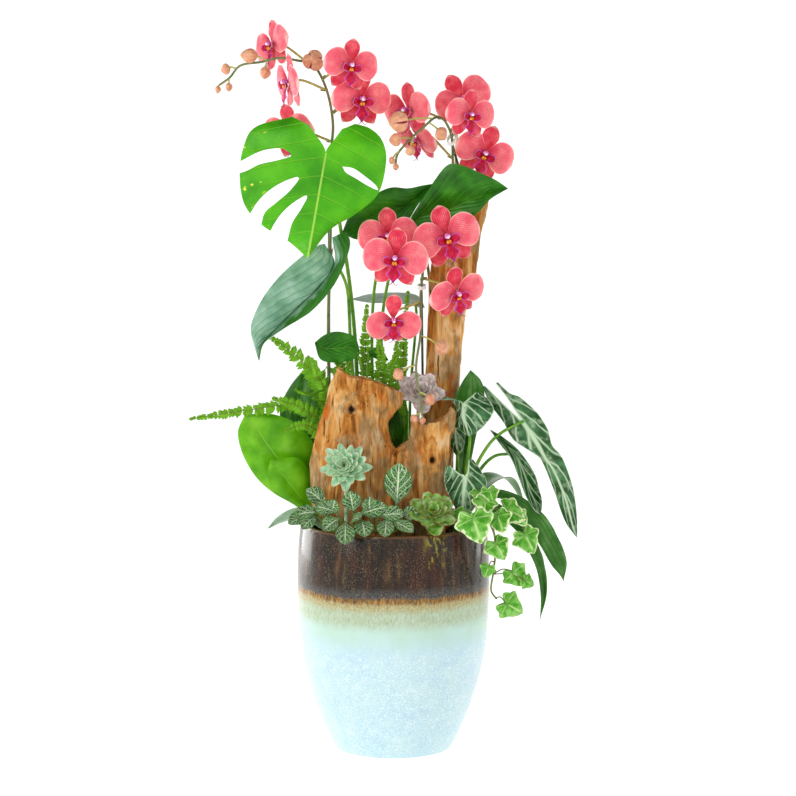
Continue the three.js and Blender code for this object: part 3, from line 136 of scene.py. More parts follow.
# %% Gather surfaces into a piece
class Sculpt:
    """Gathers surfaces in millimetres and makes them one object."""

    def __init__(self):
        self.parts = []

    def add(self, points, faces, marks, paint=0):
        """Marks are along, across and back for each point."""
        self.parts.append((points.reshape(-1, 3), faces, marks.reshape(-1, 3), paint))

    def blade(self, grids, thickness, paint=0):
        """Adds a thin sheet made of grids of (points, marks) that meet along shared edges."""
        points = np.concatenate([g[0].reshape(-1, 3) for g in grids])
        marks = np.concatenate([g[1].reshape(-1, 2) for g in grids])
        starts = np.cumsum([0] + [g[0].shape[0] * g[0].shape[1] for g in grids])
        faces = np.concatenate([
            grid_faces(*g[0].shape[:2])[:, ::g[2] if len(g) > 2 else 1] + start
            for g, start in zip(grids, starts)
        ])
        _, kept, names = np.unique(np.round(points, 2), axis=0, return_index=True, return_inverse=True)
        points, marks, faces = points[kept], marks[kept], names.reshape(-1)[faces]
        a, b, c = faces.T
        faces = faces[(a != b) & (b != c) & (c != a)]
        faces = faces[np.sort(np.unique(np.sort(faces, axis=1), axis=0, return_index=True)[1])]
        corners = points[faces]
        flat = np.cross(corners[:, 1] - corners[:, 0], corners[:, 2] - corners[:, 0])
        normals = np.zeros_like(points)
        for k in range(3):
            np.add.at(normals, faces[:, k], flat)
        normals /= np.maximum(np.linalg.norm(normals, axis=1, keepdims=True), 1e-9)
        n = len(points)
        edges = np.concatenate([faces[:, [0, 1]], faces[:, [1, 2]], faces[:, [2, 0]]])
        rim = edges[~np.isin(edges[:, 0] * n + edges[:, 1], edges[:, 1] * n + edges[:, 0])]
        a, b = rim.T
        sides = np.concatenate([np.stack([b, a, a + n], -1), np.stack([b, a + n, b + n], -1)])
        half = normals * thickness / 2
        both = np.concatenate([
            np.column_stack([marks, np.zeros(n)]),
            np.column_stack([marks, np.ones(n)]),
        ])
        self.add(
            np.concatenate([points + half, points - half]),
            np.concatenate([faces, faces[:, ::-1] + n, sides]),
            both,
            paint,
        )

    def tube(self, path, radii, sides=8, paint=0):
        """Adds a round stem along a path, closed at both ends."""
        path = np.asarray(path, float)
        radii = np.broadcast_to(radii, len(path))
        along = np.gradient(path, axis=0)
        along /= np.linalg.norm(along, axis=1, keepdims=True)
        across = np.cross(along[0], (0.31, 0.9, 0.3))
        rings = []
        turns = np.arange(sides) / sides * 2 * np.pi
        for centre, way, radius in zip(path, along, radii):
            across = across - way * (across @ way)
            across /= np.linalg.norm(across)
            other = np.cross(way, across)
            ring = np.outer(np.cos(turns), across) + np.outer(np.sin(turns), other)
            rings.append(centre + radius * ring)
        rings = np.array([np.repeat(path[:1], sides, 0), *rings, np.repeat(path[-1:], sides, 0)])
        run = np.linspace(0, 1, len(rings))
        marks = np.zeros(rings.shape)
        marks[..., 0] = run[:, None]
        marks[..., 1] = turns / np.pi - 1
        self.add(rings, grid_faces(*rings.shape[:2], closed=True), marks, paint)

    def make(self, name, node, slot, paints, sharp=50):
        """One object that stands for the CAD node, with the paints as its material slots."""
        starts = np.cumsum([0] + [len(p[0]) for p in self.parts])
        points = np.concatenate([p[0] for p in self.parts])
        faces = np.concatenate([p[1] + s for p, s in zip(self.parts, starts)])
        marks = np.concatenate([p[2] for p in self.parts])
        looks = np.concatenate([np.full(len(p[1]), p[3]) for p in self.parts])
        corners = points[faces]
        flat = np.cross(corners[:, 1] - corners[:, 0], corners[:, 2] - corners[:, 0])
        area = np.linalg.norm(flat, axis=1)
        faces, looks = faces[area > 1e-7], looks[area > 1e-7]
        mesh = bpy.data.meshes.new(name)
        mesh.from_pydata(points * MM, [], faces.tolist())
        mesh.uv_layers.new(name="marks").uv.foreach_set("vector", marks[faces.reshape(-1), :2].ravel())
        mesh.attributes.new("back", "FLOAT", "POINT").data.foreach_set("value", marks[:, 2])
        mesh.polygons.foreach_set("material_index", looks)
        mesh.shade_smooth()
        mesh.set_sharp_from_angle(angle=np.radians(sharp))
        piece = bpy.data.objects.new(name, mesh)
        for paint in paints:
            mesh.materials.append(paint.material)
        bpy.context.scene.collection.objects.link(piece)
        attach(piece, "root")
        if node:
            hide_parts(node)
        made_triangles[name] = len(faces)
        return piece


made_triangles = {}
print("pieces are gathered in millimetres and made in metres, times", MM)

# %% [markdown]
# A finish is a small chain of nodes that ends in the Principled shader. The helper below adds one
# node a call and hands back its output, so that a finish reads like a sum. Patterns are placed in
# millimetres on the object itself, so that grain and speckle keep their real size on every piece.


# %% Build finishes from nodes
class Paint:
    """A node material. Each call adds a node and returns its output."""

    def __init__(self, name):
        self.material = bpy.data.materials.new(name)
        self.material.use_nodes = True
        self.tree = self.material.node_tree
        self.tree.nodes.clear()
        spot = self.node("TexCoord", "Object")
        self.place = self.node("VectorMath", 0, {0: spot, "Scale": 1 / MM}, operation="SCALE")
        parts = self.node("SeparateXYZ", None, {0: self.place})
        self.x, self.y, self.z = parts.outputs
        marks = self.node("UVMap", None, uv_map="marks")
        parts = self.node("SeparateXYZ", None, {0: marks.outputs[0]})
        self.along, self.across = parts.outputs[:2]
        self.off = self.math("ABSOLUTE", self.across)
        self.back = self.node("Attribute", "Fac", attribute_name="back")

    def node(self, kind, output=0, inputs=None, **settings):
        made = self.tree.nodes.new("ShaderNode" + kind)
        for key, value in settings.items():
            setattr(made, key, value)
        for slot, value in (inputs or {}).items():
            if isinstance(value, bpy.types.NodeSocket):
                self.tree.links.new(value, made.inputs[slot])
            else:
                made.inputs[slot].default_value = tint(value) if isinstance(value, str) else value
        return made if output is None else made.outputs[output]

    def math(self, operation, *values):
        return self.node("Math", 0, dict(enumerate(values)), operation=operation)

    def times(self, a, b):
        return self.math("MULTIPLY", a, b)

    def plus(self, a, b):
        return self.math("ADD", a, b)

    def minus(self, a, b):
        return self.math("SUBTRACT", a, b)

    def times_plus(self, a, b, c):
        return self.math("MULTIPLY_ADD", a, b, c)

    def most(self, a, b):
        return self.math("MAXIMUM", a, b)

    def beat(self, phase):
        """How far the phase is from the middle of its whole step, from 0 to 0.5."""
        return self.math("ABSOLUTE", self.minus(self.math("FRACT", phase), 0.5))

    def line(self, gap, width):
        """1 in the middle of a line, falling to 0 at its width."""
        return self.minus(1.0, self.math("MINIMUM", self.math("DIVIDE", gap, width), 1.0))

    def step(self, value, low, high, bottom=0.0, top=1.0):
        """From bottom at low to top at high, smooth between."""
        inputs = {"Value": value, "From Min": low, "From Max": high, "To Min": bottom, "To Max": top}
        return self.node("MapRange", 0, inputs, interpolation_type="SMOOTHSTEP")

    def stretched(self, stretch):
        return self.node("VectorMath", 0, {0: self.place, 1: stretch}, operation="MULTIPLY")

    def noise(self, size, detail=3.0, stretch=(1, 1, 1), distortion=0.0, rough=0.5):
        inputs = {
            "Vector": self.stretched(stretch), "Scale": 1 / size, "Detail": detail,
            "Distortion": distortion, "Roughness": rough,
        }
        return self.node("TexNoise", 0, inputs)

    def cells(self, size, feature="F1"):
        inputs = {"Vector": self.place, "Scale": 1 / size}
        return self.node("TexVoronoi", "Distance", inputs, feature=feature)

    def mix(self, share, a, b):
        return self.node("Mix", 2, {0: share, 6: a, 7: b}, data_type="RGBA")

    def ramp(self, value, *stops):
        """Colours at given values, as a colour ramp."""
        made = self.node("ValToRGB", None, {0: value})
        points = made.color_ramp.elements
        while len(points) < len(stops):
            points.new(0.5)
        for point, (position, _) in zip(points, stops):
            point.position = position
        for point, (_, colour) in zip(points, stops):
            point.color = tint(colour)
        return made.outputs[0]

    def finish(self, colour, rough=0.5, bump=None, relief=0.3, soft=0.0, reach=3.0, **more):
        """The shader itself. relief is the bump's height and reach how deep light soaks in, both in mm."""
        inputs = {"Base Color": colour, "Roughness": rough, "Specular IOR Level": 0.3}
        if bump is not None:
            inputs["Normal"] = self.node("Bump", 0, {"Height": bump, "Distance": relief * MM})
        if soft:
            inputs["Subsurface Weight"] = soft
            inputs["Subsurface Radius"] = (1.0, 0.5, 0.3)
            inputs["Subsurface Scale"] = reach * MM
        for key, value in more.items():
            inputs[key.replace("_", " ").title().replace("Ior", "IOR")] = value
        shader = self.node("BsdfPrincipled", 0, inputs)
        self.node("OutputMaterial", None, {0: shader})
        return self


def tint(colour):
    """A colour written as #rrggbb, as the four linear numbers that a node wants."""
    channels = [int(colour[i:i + 2], 16) / 255 for i in (1, 3, 5)]
    return [((c + 0.055) / 1.055) ** 2.4 if c > 0.04 else c / 12.92 for c in channels] + [1.0]


print("middle grey is", round(tint("#808080")[0], 3), "as a linear number")

# %% [markdown]
# The set is a pale floor that curves up into a wall all round, like the paper sweep of a photo
# studio. It glows a little by itself, so that it stays white right up to the pot and lights the
# leaves from below. The sky adds an even light. Two lamps in front give the leaves and petals a lit
# side, a small one gives the glaze a soft window, and two tall panels behind give it a long pale
# reflection along each edge.

# %% Floor, sky and lamps
p = floor_paint = Paint("floor")
floor_tone = p.ramp(p.noise(240), (0.3, "#d6d6d5"), (0.7, "#dddddc"))
p.finish(
    floor_tone, rough=1.0, specular_ior_level=0.0, emission_color=(1, 1, 1, 1), emission_strength=0.53,
)
turns = np.linspace(0, 2 * np.pi, 96, endpoint=False)
bend = np.linspace(0, np.pi / 2, 14)
FLAT_TO = 9
CURVE = 3
WALL_TOP = 7
FLOOR_GAP = 0.0005
curve = np.stack([FLAT_TO + CURVE * np.sin(bend), CURVE - CURVE * np.cos(bend)], axis=1)
sweep = [[0, 0], *curve, [FLAT_TO + CURVE, WALL_TOP]]
sweep = np.array([[[r * np.cos(a), r * np.sin(a), z] for a in turns] for r, z in sweep])
floor_mesh = bpy.data.meshes.new("floor")
floor_faces = grid_faces(*sweep.shape[:2], closed=True)[:, ::-1]
floor_mesh.from_pydata(sweep.reshape(-1, 3), [], floor_faces.tolist())
floor_mesh.shade_smooth()
floor_mesh.materials.append(floor_paint.material)
floor = bpy.data.objects.new("floor", floor_mesh)
floor.location.z = -FLOOR_GAP
bpy.context.scene.collection.objects.link(floor)

sky = bpy.data.worlds.new("sky")
sky.use_nodes = True
sky.node_tree.nodes["Background"].inputs["Color"].default_value = (1, 1, 1, 1)
sky.node_tree.nodes["Background"].inputs["Strength"].default_value = 0.3
bpy.context.scene.world = sky
bpy.context.scene.view_settings.view_transform = "Standard"
bpy.context.scene.view_settings.look = "Medium High Contrast"


def lamp(name, place, aim, width, height, watts):
    """A rectangular lamp that faces its aim."""
    light = bpy.data.objects.new(name, bpy.data.lights.new(name, "AREA"))
    light.data.shape = "RECTANGLE"
    light.data.size, light.data.size_y, light.data.energy = width, height, watts
    light.location = place
    light.rotation_euler = (Vector(aim) - Vector(place)).to_track_quat("-Z", "Y").to_euler()
    bpy.context.scene.collection.objects.link(light)


lamp("key", (-1.5, -2.6, 2.2), (0, 0, 0.6), 1.2, 1.2, 14)
lamp("fill", (2.1, -1.8, 1.2), (0, 0, 0.5), 1.4, 1.8, 3)
lamp("soft_window", (-1.5, -1.05, 0.62), (0, 0, 0.25), 0.4, 0.5, 4)
lamp("panel_left", (-1.5, 1.25, 0.5), (0, 0, 0.3), 1.1, 1.7, 19)
lamp("panel_right", (1.9, 1.15, 0.5), (0, 0, 0.3), 0.8, 1.7, 9)
print("5 lamps, sky and floor")

# %% [markdown]
# The pot is stoneware, thrown and dipped in two glazes. The dark one runs down over the pale one,
# and they mix to a rusty line where they meet. One material can hold all of this, because each zone
# depends on the height: a colour ramp over the height gives the zones, and noise that is stretched
# upright pushes the borders up and down so that the glaze seems to have run.

# %% Glaze for the pot
DRIP_X = 54.0
RIM_Z = 291.5
p = glaze = Paint("glaze")
runs = p.noise(8, 3, (1, 1, 0.16))
drift = p.noise(30, 2)
turned = p.times_plus(runs, 8, p.times_plus(drift, 8, -8.0))
height = p.plus(p.z, turned)
streaks = p.noise(9, 4, (1, 1, 0.16), rough=0.6)
dark = p.ramp(streaks, (0.3, "#0d0805"), (0.45, "#1e130b"), (0.58, "#382413"), (0.72, "#6a4e2a"))
dark = p.mix(p.step(p.noise(26, 3, (1, 1, 0.4)), 0.52, 0.68, 0, 0.5), dark, "#4a1d10")
specks = p.step(p.noise(1.5, 3, rough=0.75), 0.54, 0.66)
dark = p.mix(p.times(specks, p.step(p.noise(20, 3), 0.35, 0.65, 0.15, 0.7)), dark, "#a3906a")
band = p.ramp(p.noise(1.6, 3, rough=0.7), (0.35, "#2e2f31"), (0.5, "#4a4846"), (0.65, "#77726a"))
rust = p.ramp(p.noise(2.4, 4, (1, 1, 0.3)), (0.35, "#4a3417"), (0.5, "#8a5f1e"), (0.65, "#b98a45"))
tan = p.ramp(p.noise(2.2, 4, rough=0.7), (0.35, "#96844f"), (0.5, "#b0a477"), (0.65, "#c0bd9a"))
sage = p.noise(2.6, 4, (1, 1, 0.5), rough=0.65)
sage = p.ramp(sage, (0.35, "#a3b094"), (0.5, "#b2c0a4"), (0.65, "#b8ccb6"))
mint = p.ramp(p.noise(40, 2), (0.35, "#bad6c6"), (0.65, "#bfdad2"))
ice = p.ramp(p.noise(24, 3), (0.35, "#b5d1dd"), (0.5, "#b9d6de"), (0.65, "#bed8dc"))
frost = p.step(p.noise(1.7, 3, rough=0.8), 0.47, 0.57)
patches = p.step(p.noise(9, 4, rough=0.7), 0.35, 0.65, 0.35, 1.0)
frost = p.times(p.times(frost, patches), p.step(height, 168, 130))
grey = p.times(p.step(p.noise(1.5, 3, rough=0.8), 0.56, 0.66), p.step(height, 150, 60))
colour = p.mix(p.step(height, 172, 138), mint, ice)
colour = p.mix(p.times(frost, 0.85), colour, "#e4f1f3")
colour = p.mix(p.times(grey, 0.6), colour, "#93ab9f")
colour = p.mix(p.step(height, 170, 188), colour, sage)
colour = p.mix(p.step(height, 194, 207), colour, tan)
colour = p.mix(p.step(height, 206, 213, 0, 0.9), colour, rust)
colour = p.mix(p.step(height, 213, 219), colour, band)
colour = p.mix(p.step(height, 219, 232), colour, dark)
dripped = p.times(p.step(p.noise(6, 3, (1, 1, 0.45)), 0.5, 0.6), p.step(p.z, 250, 262))
near_drip = p.step(p.math("ABSOLUTE", p.minus(p.x, DRIP_X)), 20, 6)
colour = p.mix(p.times(dripped, near_drip), colour, "#8f8412")
colour = p.mix(p.step(p.z, RIM_Z, 295, 0, 0.75), colour, "#7a5a38")
relief = p.times_plus(frost, 0.5, p.times(p.plus(runs, specks), 0.3))
p.finish(
    colour, rough=0.16, bump=relief, relief=0.12, specular_ior_level=0.35, coat_weight=0.2,
    coat_roughness=0.06,
)
print("glaze zones meet at about 217 mm")

# %% [markdown]
# The wall is a lathe: one outline turned round the axis. The solid has few sides, so the outline is
# turned again here with many, through nearly the same points and with a rounder foot and rim. A
# slight unevenness of a tenth of a millimetre or two keeps the highlights from running dead
# straight, as on a hand-finished pot.

# %% The pot
POT_OUTLINE = [
    [0, 0], [60, 0], [70, 0], [74.5, 1.2], [77, 4], [88, 26], [101.5, 60], [114, 102], [121.8, 148],
    [124.5, 205], [123.8, 255], [121.2, 285], [119.8, 293], [118.4, 295.6], [116, 296], [114, 294.5],
    [113.2, 291], [115, 250], [115.5, 200], [107, 110], [90, 55], [62, 12], [0, 12],
]
outline = spline(POT_OUTLINE, np.linspace(0, len(POT_OUTLINE) - 1, 155))
outline[:, 0] = np.maximum(outline[:, 0], 0)
outline[:, 1] = np.maximum(outline[:, 1], 0)
POT_TURNS = 160
turns = np.linspace(0, 2 * np.pi, POT_TURNS, endpoint=False)
wobble = 1 + 0.0012 * np.sin(3 * turns + 0.4) + 0.0007 * np.sin(5 * turns)
wall = np.stack([
    outline[:, :1] * (np.cos(turns) * wobble),
    outline[:, :1] * (np.sin(turns) * wobble),
    np.repeat(outline[:, 1:], len(turns), 1),
], axis=-1)
pot = Sculpt()
marks = np.zeros(wall.shape)
marks[..., 0] = np.linspace(0, 1, len(wall))[:, None]
marks[..., 1] = turns / np.pi - 1
pot.add(wall, grid_faces(*wall.shape[:2], closed=True), marks)
pot.make("pot_glazed", "pot", "glaze", [glaze])
print("pot", round(float(2 * wall[..., 0].max())), "mm across")

# %% [markdown]
# The filling shows only between the plants, as dark crumbly bark and moss. It is a disc that is
# pushed up and down by three sizes of noise. The sides follow the inside of the pot, so that the
# piece stays a full block like the solid that it stands for.

# %% Soil and moss
p = soil_paint = Paint("soil")
earth = p.ramp(p.noise(5, 4), (0.3, "#2a1a10"), (0.55, "#54361f"), (0.75, "#7d5a36"))
moss = p.ramp(p.noise(1.4, 3), (0.3, "#3f5a1c"), (0.7, "#7f9a3a"))
mossy = p.step(p.noise(30, 3), 0.5, 0.58)
grit = p.plus(p.noise(2.0, 4), p.cells(3.2))
p.finish(p.mix(mossy, earth, moss), rough=0.95, bump=grit, relief=2.0)
GROUND_RINGS = 56
rings = np.concatenate([np.linspace(0, 110, GROUND_RINGS), [112.4, 112.6, 113.2, 114.6, 106.5, 89, 61]])
levels = np.concatenate([np.full(GROUND_RINGS, 278.0), [276, 270, 262, 200, 110, 55, 13]])
turns = np.linspace(0, 2 * np.pi, 190, endpoint=False)
ground = np.stack([
    np.outer(rings, np.cos(turns)), np.outer(rings, np.sin(turns)), np.repeat(levels[:, None], len(turns), 1),
], axis=-1)
top = ground[:GROUND_RINGS + 1]
top[..., 2] += 3.2 * lumps(top, 17, 3) + 1.8 * lumps(top, 6, 8) + 1.0 * lumps(top, 2.6, 5)
ground = np.concatenate([ground, np.array([[[0, 0, 13.0]]]).repeat(len(turns), 1)])
soil = Sculpt()
soil.add(ground, grid_faces(*ground.shape[:2], closed=True)[:, ::-1], np.zeros(ground.shape))
soil.make("soil_mossy", "soil", "soil", [soil_paint])
print("soil top at about", round(float(top[..., 2].mean())), "mm")

# %% [markdown]
# Driftwood has lost its bark, and the sea and sun have opened its grain into long grooves. The two
# pieces are rings of points round an upright block, as in the solids. Far more rings are used here,
# and noise that is stretched along the grain cuts the grooves into the real surface, because a bump
# alone looks flat at the edge.

# %% Driftwood finish
p = wood = Paint("driftwood")
grain = p.noise(2.6, 5, (1, 1, 0.07), 0.6, 0.65)
wide = p.noise(16, 4, (1, 1, 0.22), 1.2)
tone = p.times_plus(wide, 0.75, p.times(grain, 0.25))
tone = p.ramp(tone, (0.36, "#82501f"), (0.46, "#bb7d3a"), (0.54, "#d6a260"), (0.64, "#e4c193"))
worn = p.step(p.noise(34, 5, (1, 1, 0.6), 0.5, 0.6), 0.47, 0.6)
grey = p.ramp(p.noise(7, 5, (1, 1, 0.3), rough=0.7), (0.35, "#75603f"), (0.5, "#a0855f"), (0.65, "#c6ad8a"))
tone = p.mix(p.times(worn, 0.8), tone, grey)
rusty = p.step(p.noise(17, 3, (1, 1, 0.4)), 0.6, 0.72, 0, 0.8)
tone = p.mix(rusty, tone, "#c8661a")
cracks = p.step(p.noise(3.4, 4, (1, 1, 0.06), 1.2), 0.36, 0.3)
tone = p.mix(p.times(cracks, 0.85), tone, "#3b2110")
# Painted shade: patches of darker brown low on the wood, towards the soil.
low_painted_shade = p.step(p.z, 345, 285, 0, 0.45)
tone = p.mix(p.times(low_painted_shade, p.noise(12, 4)), tone, "#4a3018")
# The knot pits are darkened to near black: the dark wood of the knots, with painted shade in the pits.
hollow = p.step(p.back, 0.2, 0.8)
tone = p.mix(hollow, tone, "#25150b")
p.finish(tone, rough=0.85, bump=p.minus(grain, cracks), relief=1.4)
print("the wood finish has", len(wood.tree.nodes), "nodes")

# %% [markdown]
# Each piece is drawn by three small tables: how far it reaches left and right at each height, how
# far to the front and back, and how high its crest is along its width. Rings of points are laid
# between them. Knots are pits with a raised lip, pushed into the same points, so that light and
# shade fall into them.

# %% Driftwood shapes
WOOD_FOOT = 246
SOIL_TOP = 280
FRONT_WOOD = {
    "left": {
        "sides": [
            [300, -86, -4], [332, -104, 2], [393, -107, 5], [415, -103, 3], [423, -101, -3],
            [446, -96, -9], [471, -89, 2], [483, -86, 9], [500, -82, 11],
        ],
        "faces": [[300, -50, -6], [400, -50, -6], [470, -44, -8], [500, -38, -14]],
        "crest": [
            [-84, 470], [-78, 484], [-71, 500], [-63, 494], [-58, 486], [-49, 488], [-28, 483],
            [-11, 477], [11, 466],
        ],
    },
    "right": {
        "sides": [
            [300, -20, 66], [341, -16, 68], [385, -9, 70], [412, 1, 72], [422, 16, 76], [432, 22, 78],
            [447, 24, 79],
        ],
        "faces": [[300, -53, -10], [400, -53, -10], [447, -44, -14]],
        "crest": [[18, 426], [25, 431], [40, 427], [56, 430], [66, 437], [74, 447], [80, 443]],
    },
}
TALL_WOOD = {
    "sides": [
        [300, 30, 72], [456, 41, 84], [531, 46, 89], [567, 47, 93], [619, 47, 106], [672, 58, 112],
        [723, 88, 125],
    ],
    "faces": [[300, 34, 62], [456, 33, 64], [619, 32, 62], [723, 38, 58]],
    "crest": [[86, 712], [97, 719], [112, 716], [126, 724]],
}
KNOTS = [(-55, 447, 7.5), (-27, 372, 5), (52, 383, 6), (70, 610, 5)]


def read(table, keys):
    """Straight-line values from a table whose first column is the key."""
    rows = np.array(table, float)
    return [np.interp(keys, rows[:, 0], rows[:, k]) for k in range(1, rows.shape[1])]


def add_driftwood(sculpt, form, seed, rows=150, around=150):
    crest = np.array(form["crest"], float)
    highest = crest[:, 1].max()
    level = np.linspace(0, 1, rows) ** 0.9
    z = WOOD_FOOT + (highest - WOOD_FOOT) * level
    left, right = read(form["sides"], z)
    front, back = read(form["faces"], z)
    angle = np.arange(around) / around * 2 * np.pi
    square = [np.sign(c) * np.abs(c) ** 0.6 for c in (np.cos(angle), np.sin(angle))]
    lifted = (z > SOIL_TOP + 8)[:, None]
    groove = 1.8 * np.sin(7 * angle + 3 * level[:, None]) + 1.3 * np.sin(5 * angle - 4 * level[:, None])
    groove = groove * lifted
    x = ((left + right) / 2)[:, None] + (((right - left) / 2)[:, None] + groove * 0.6) * square[0]
    y = ((front + back) / 2)[:, None] + (((back - front) / 2)[:, None] + groove) * square[1]
    top = np.interp(x, crest[:, 0], crest[:, 1])
    wood_points = np.stack([x, y, WOOD_FOOT + (top - WOOD_FOOT) * level[:, None]], axis=-1)
    middle = wood_points.mean(axis=1, keepdims=True)
    outward = wood_points - middle
    outward[..., 2] = 0
    outward /= np.maximum(np.linalg.norm(outward, axis=-1, keepdims=True), 1e-6)
    streaky = wood_points * (1, 1, 0.09)
    depth = 1.9 * lumps(streaky, 7, seed) + 1.3 * lumps(streaky, 3.1, seed + 4)
    depth += 0.7 * lumps(streaky, 1.5, seed + 9)
    depth -= 2.4 * np.clip(-lumps(streaky, 4.4, seed + 2) - 0.25, 0, 1)
    pit = np.zeros(depth.shape)
    for knot_x, knot_z, size in KNOTS:
        away = np.hypot(wood_points[..., 0] - knot_x, (wood_points[..., 2] - knot_z) * 0.8) / size
        facing = wood_points[..., 1] < middle[..., 1]
        depth += facing * (1.6 * np.exp(-((away - 1.2) / 0.3) ** 2) - 6 * np.exp(-away ** 2 * 1.6))
        pit += facing * np.exp(-away ** 2 * 2)
    wood_points += outward * (depth * lifted)[..., None]
    wood_points[..., 2] += 2.2 * lumps(wood_points * (1, 1, 0.2), 5, seed + 6) * level[:, None] ** 8
    # The third mark is the knot pit, which the finish darkens, partly as painted shade.
    marks = np.zeros(wood_points.shape)
    marks[..., 2] = np.clip(pit, 0, 1)
    caps = []
    for share in (0.75, 0.45, 0.0):
        rim = wood_points[-1]
        heart = rim.mean(axis=0)
        cap = heart + (rim - heart) * share
        cap[:, 2] = np.interp(cap[:, 0], crest[:, 0], crest[:, 1]) - 1.5 * (1 - share)
        cap[:, 2] += 1.4 * lumps(cap, 5, seed) if share else 0
        caps.append(cap if share else np.repeat(cap.mean(axis=0)[None], around, 0))
    whole = np.concatenate([np.repeat(wood_points[:1].mean(axis=1), around, 0)[None], wood_points, caps])
    marks = np.concatenate([marks[:1], marks, np.zeros((3,) + marks.shape[1:])])
    sculpt.add(whole, grid_faces(*whole.shape[:2], closed=True), marks)


broad_wood = Sculpt()
add_driftwood(broad_wood, FRONT_WOOD["left"], 3)
add_driftwood(broad_wood, FRONT_WOOD["right"], 12)
broad_wood.make("driftwood_weathered_front", "driftwood_front", "driftwood", [wood], sharp=70)
slim_wood = Sculpt()
add_driftwood(slim_wood, TALL_WOOD, 21, 190, 110)
slim_wood.make("driftwood_weathered_tall", "driftwood_tall", "driftwood", [wood], sharp=70)
print("driftwood", made_triangles["driftwood_weathered_front"], "triangles")

# %% [markdown]
# A moth orchid's flower spike is one smooth green stem with a papery scale at each joint. Its
# flowers hang on short stalks, and its tip carries buds that shrink towards the end. The stem
# follows the same points as the solid, so that every flower still sits on its stalk.

# %% Stem, bud, stake and clip finishes
p = stem_paint = Paint("stem")
shade = p.ramp(p.noise(14, 4), (0.3, "#66744a"), (0.5, "#7f8a5c"), (0.68, "#8d7f5e"))
flecks = p.step(p.noise(1.2, 2), 0.62, 0.72)
p.finish(
    p.mix(p.times(flecks, 0.4), shade, "#5a4a36"),
    rough=0.45, bump=p.noise(1.6, 3, (1, 1, 0.3)), relief=0.2, soft=0.1,
)
p = stalk_paint = Paint("flower_stalk")
stalk_tone = p.ramp(p.noise(6, 3), (0.3, "#a3a85c"), (0.6, "#c3bd74"), (0.75, "#b98f6e"))
p.finish(stalk_tone, rough=0.45, bump=p.noise(1.2), relief=0.1, soft=0.15)
p = bud_paint = Paint("bud")
skin = p.ramp(p.noise(5, 4), (0.3, "#cf8f72"), (0.55, "#dea988"), (0.75, "#e9c09a"))
lines = p.math("SINE", p.times_plus(p.across, 40.0, p.noise(4)))
skin = p.mix(p.step(lines, 0.5, 1.0, 0.0, 0.35), skin, "#c27a66")
# The seams between the sepals turn dark red: the red of the petals inside, with painted shade in the seams.
skin = p.mix(p.step(p.back, 0.35, 0.75), skin, "#8c1f33")
skin = p.mix(p.step(p.along, 0.22, 0.04), skin, "#b3ac66")
p.finish(skin, rough=0.5, bump=lines, relief=0.12, soft=0.2)
p = stake_paint = Paint("stake")
cane = p.ramp(p.noise(3, 3, (1, 1, 0.08)), (0.3, "#2e2f27"), (0.7, "#5c5a48"))
p.finish(cane, rough=0.55, bump=p.noise(1, 3, (1, 1, 0.1)), relief=0.15)
p = clip_paint = Paint("clip")
milky = p.ramp(p.noise(4, 2), (0.3, "#dfe8e4"), (0.7, "#f2f6f3"))
p.finish(milky, rough=0.25, bump=p.noise(1.5), relief=0.05, soft=0.2)
print("the bud finish has", len(bud_paint.tree.nodes), "nodes")

# %% [markdown]
# Stems have to meet flowers, leaves and soil, so their places come before their shapes. They are
# the same numbers as in the solids: where each plant is rooted, where each flower sits and looks,
# and the way that each stem runs. A stem starts below the soil and rises upright through it before
# it bends.

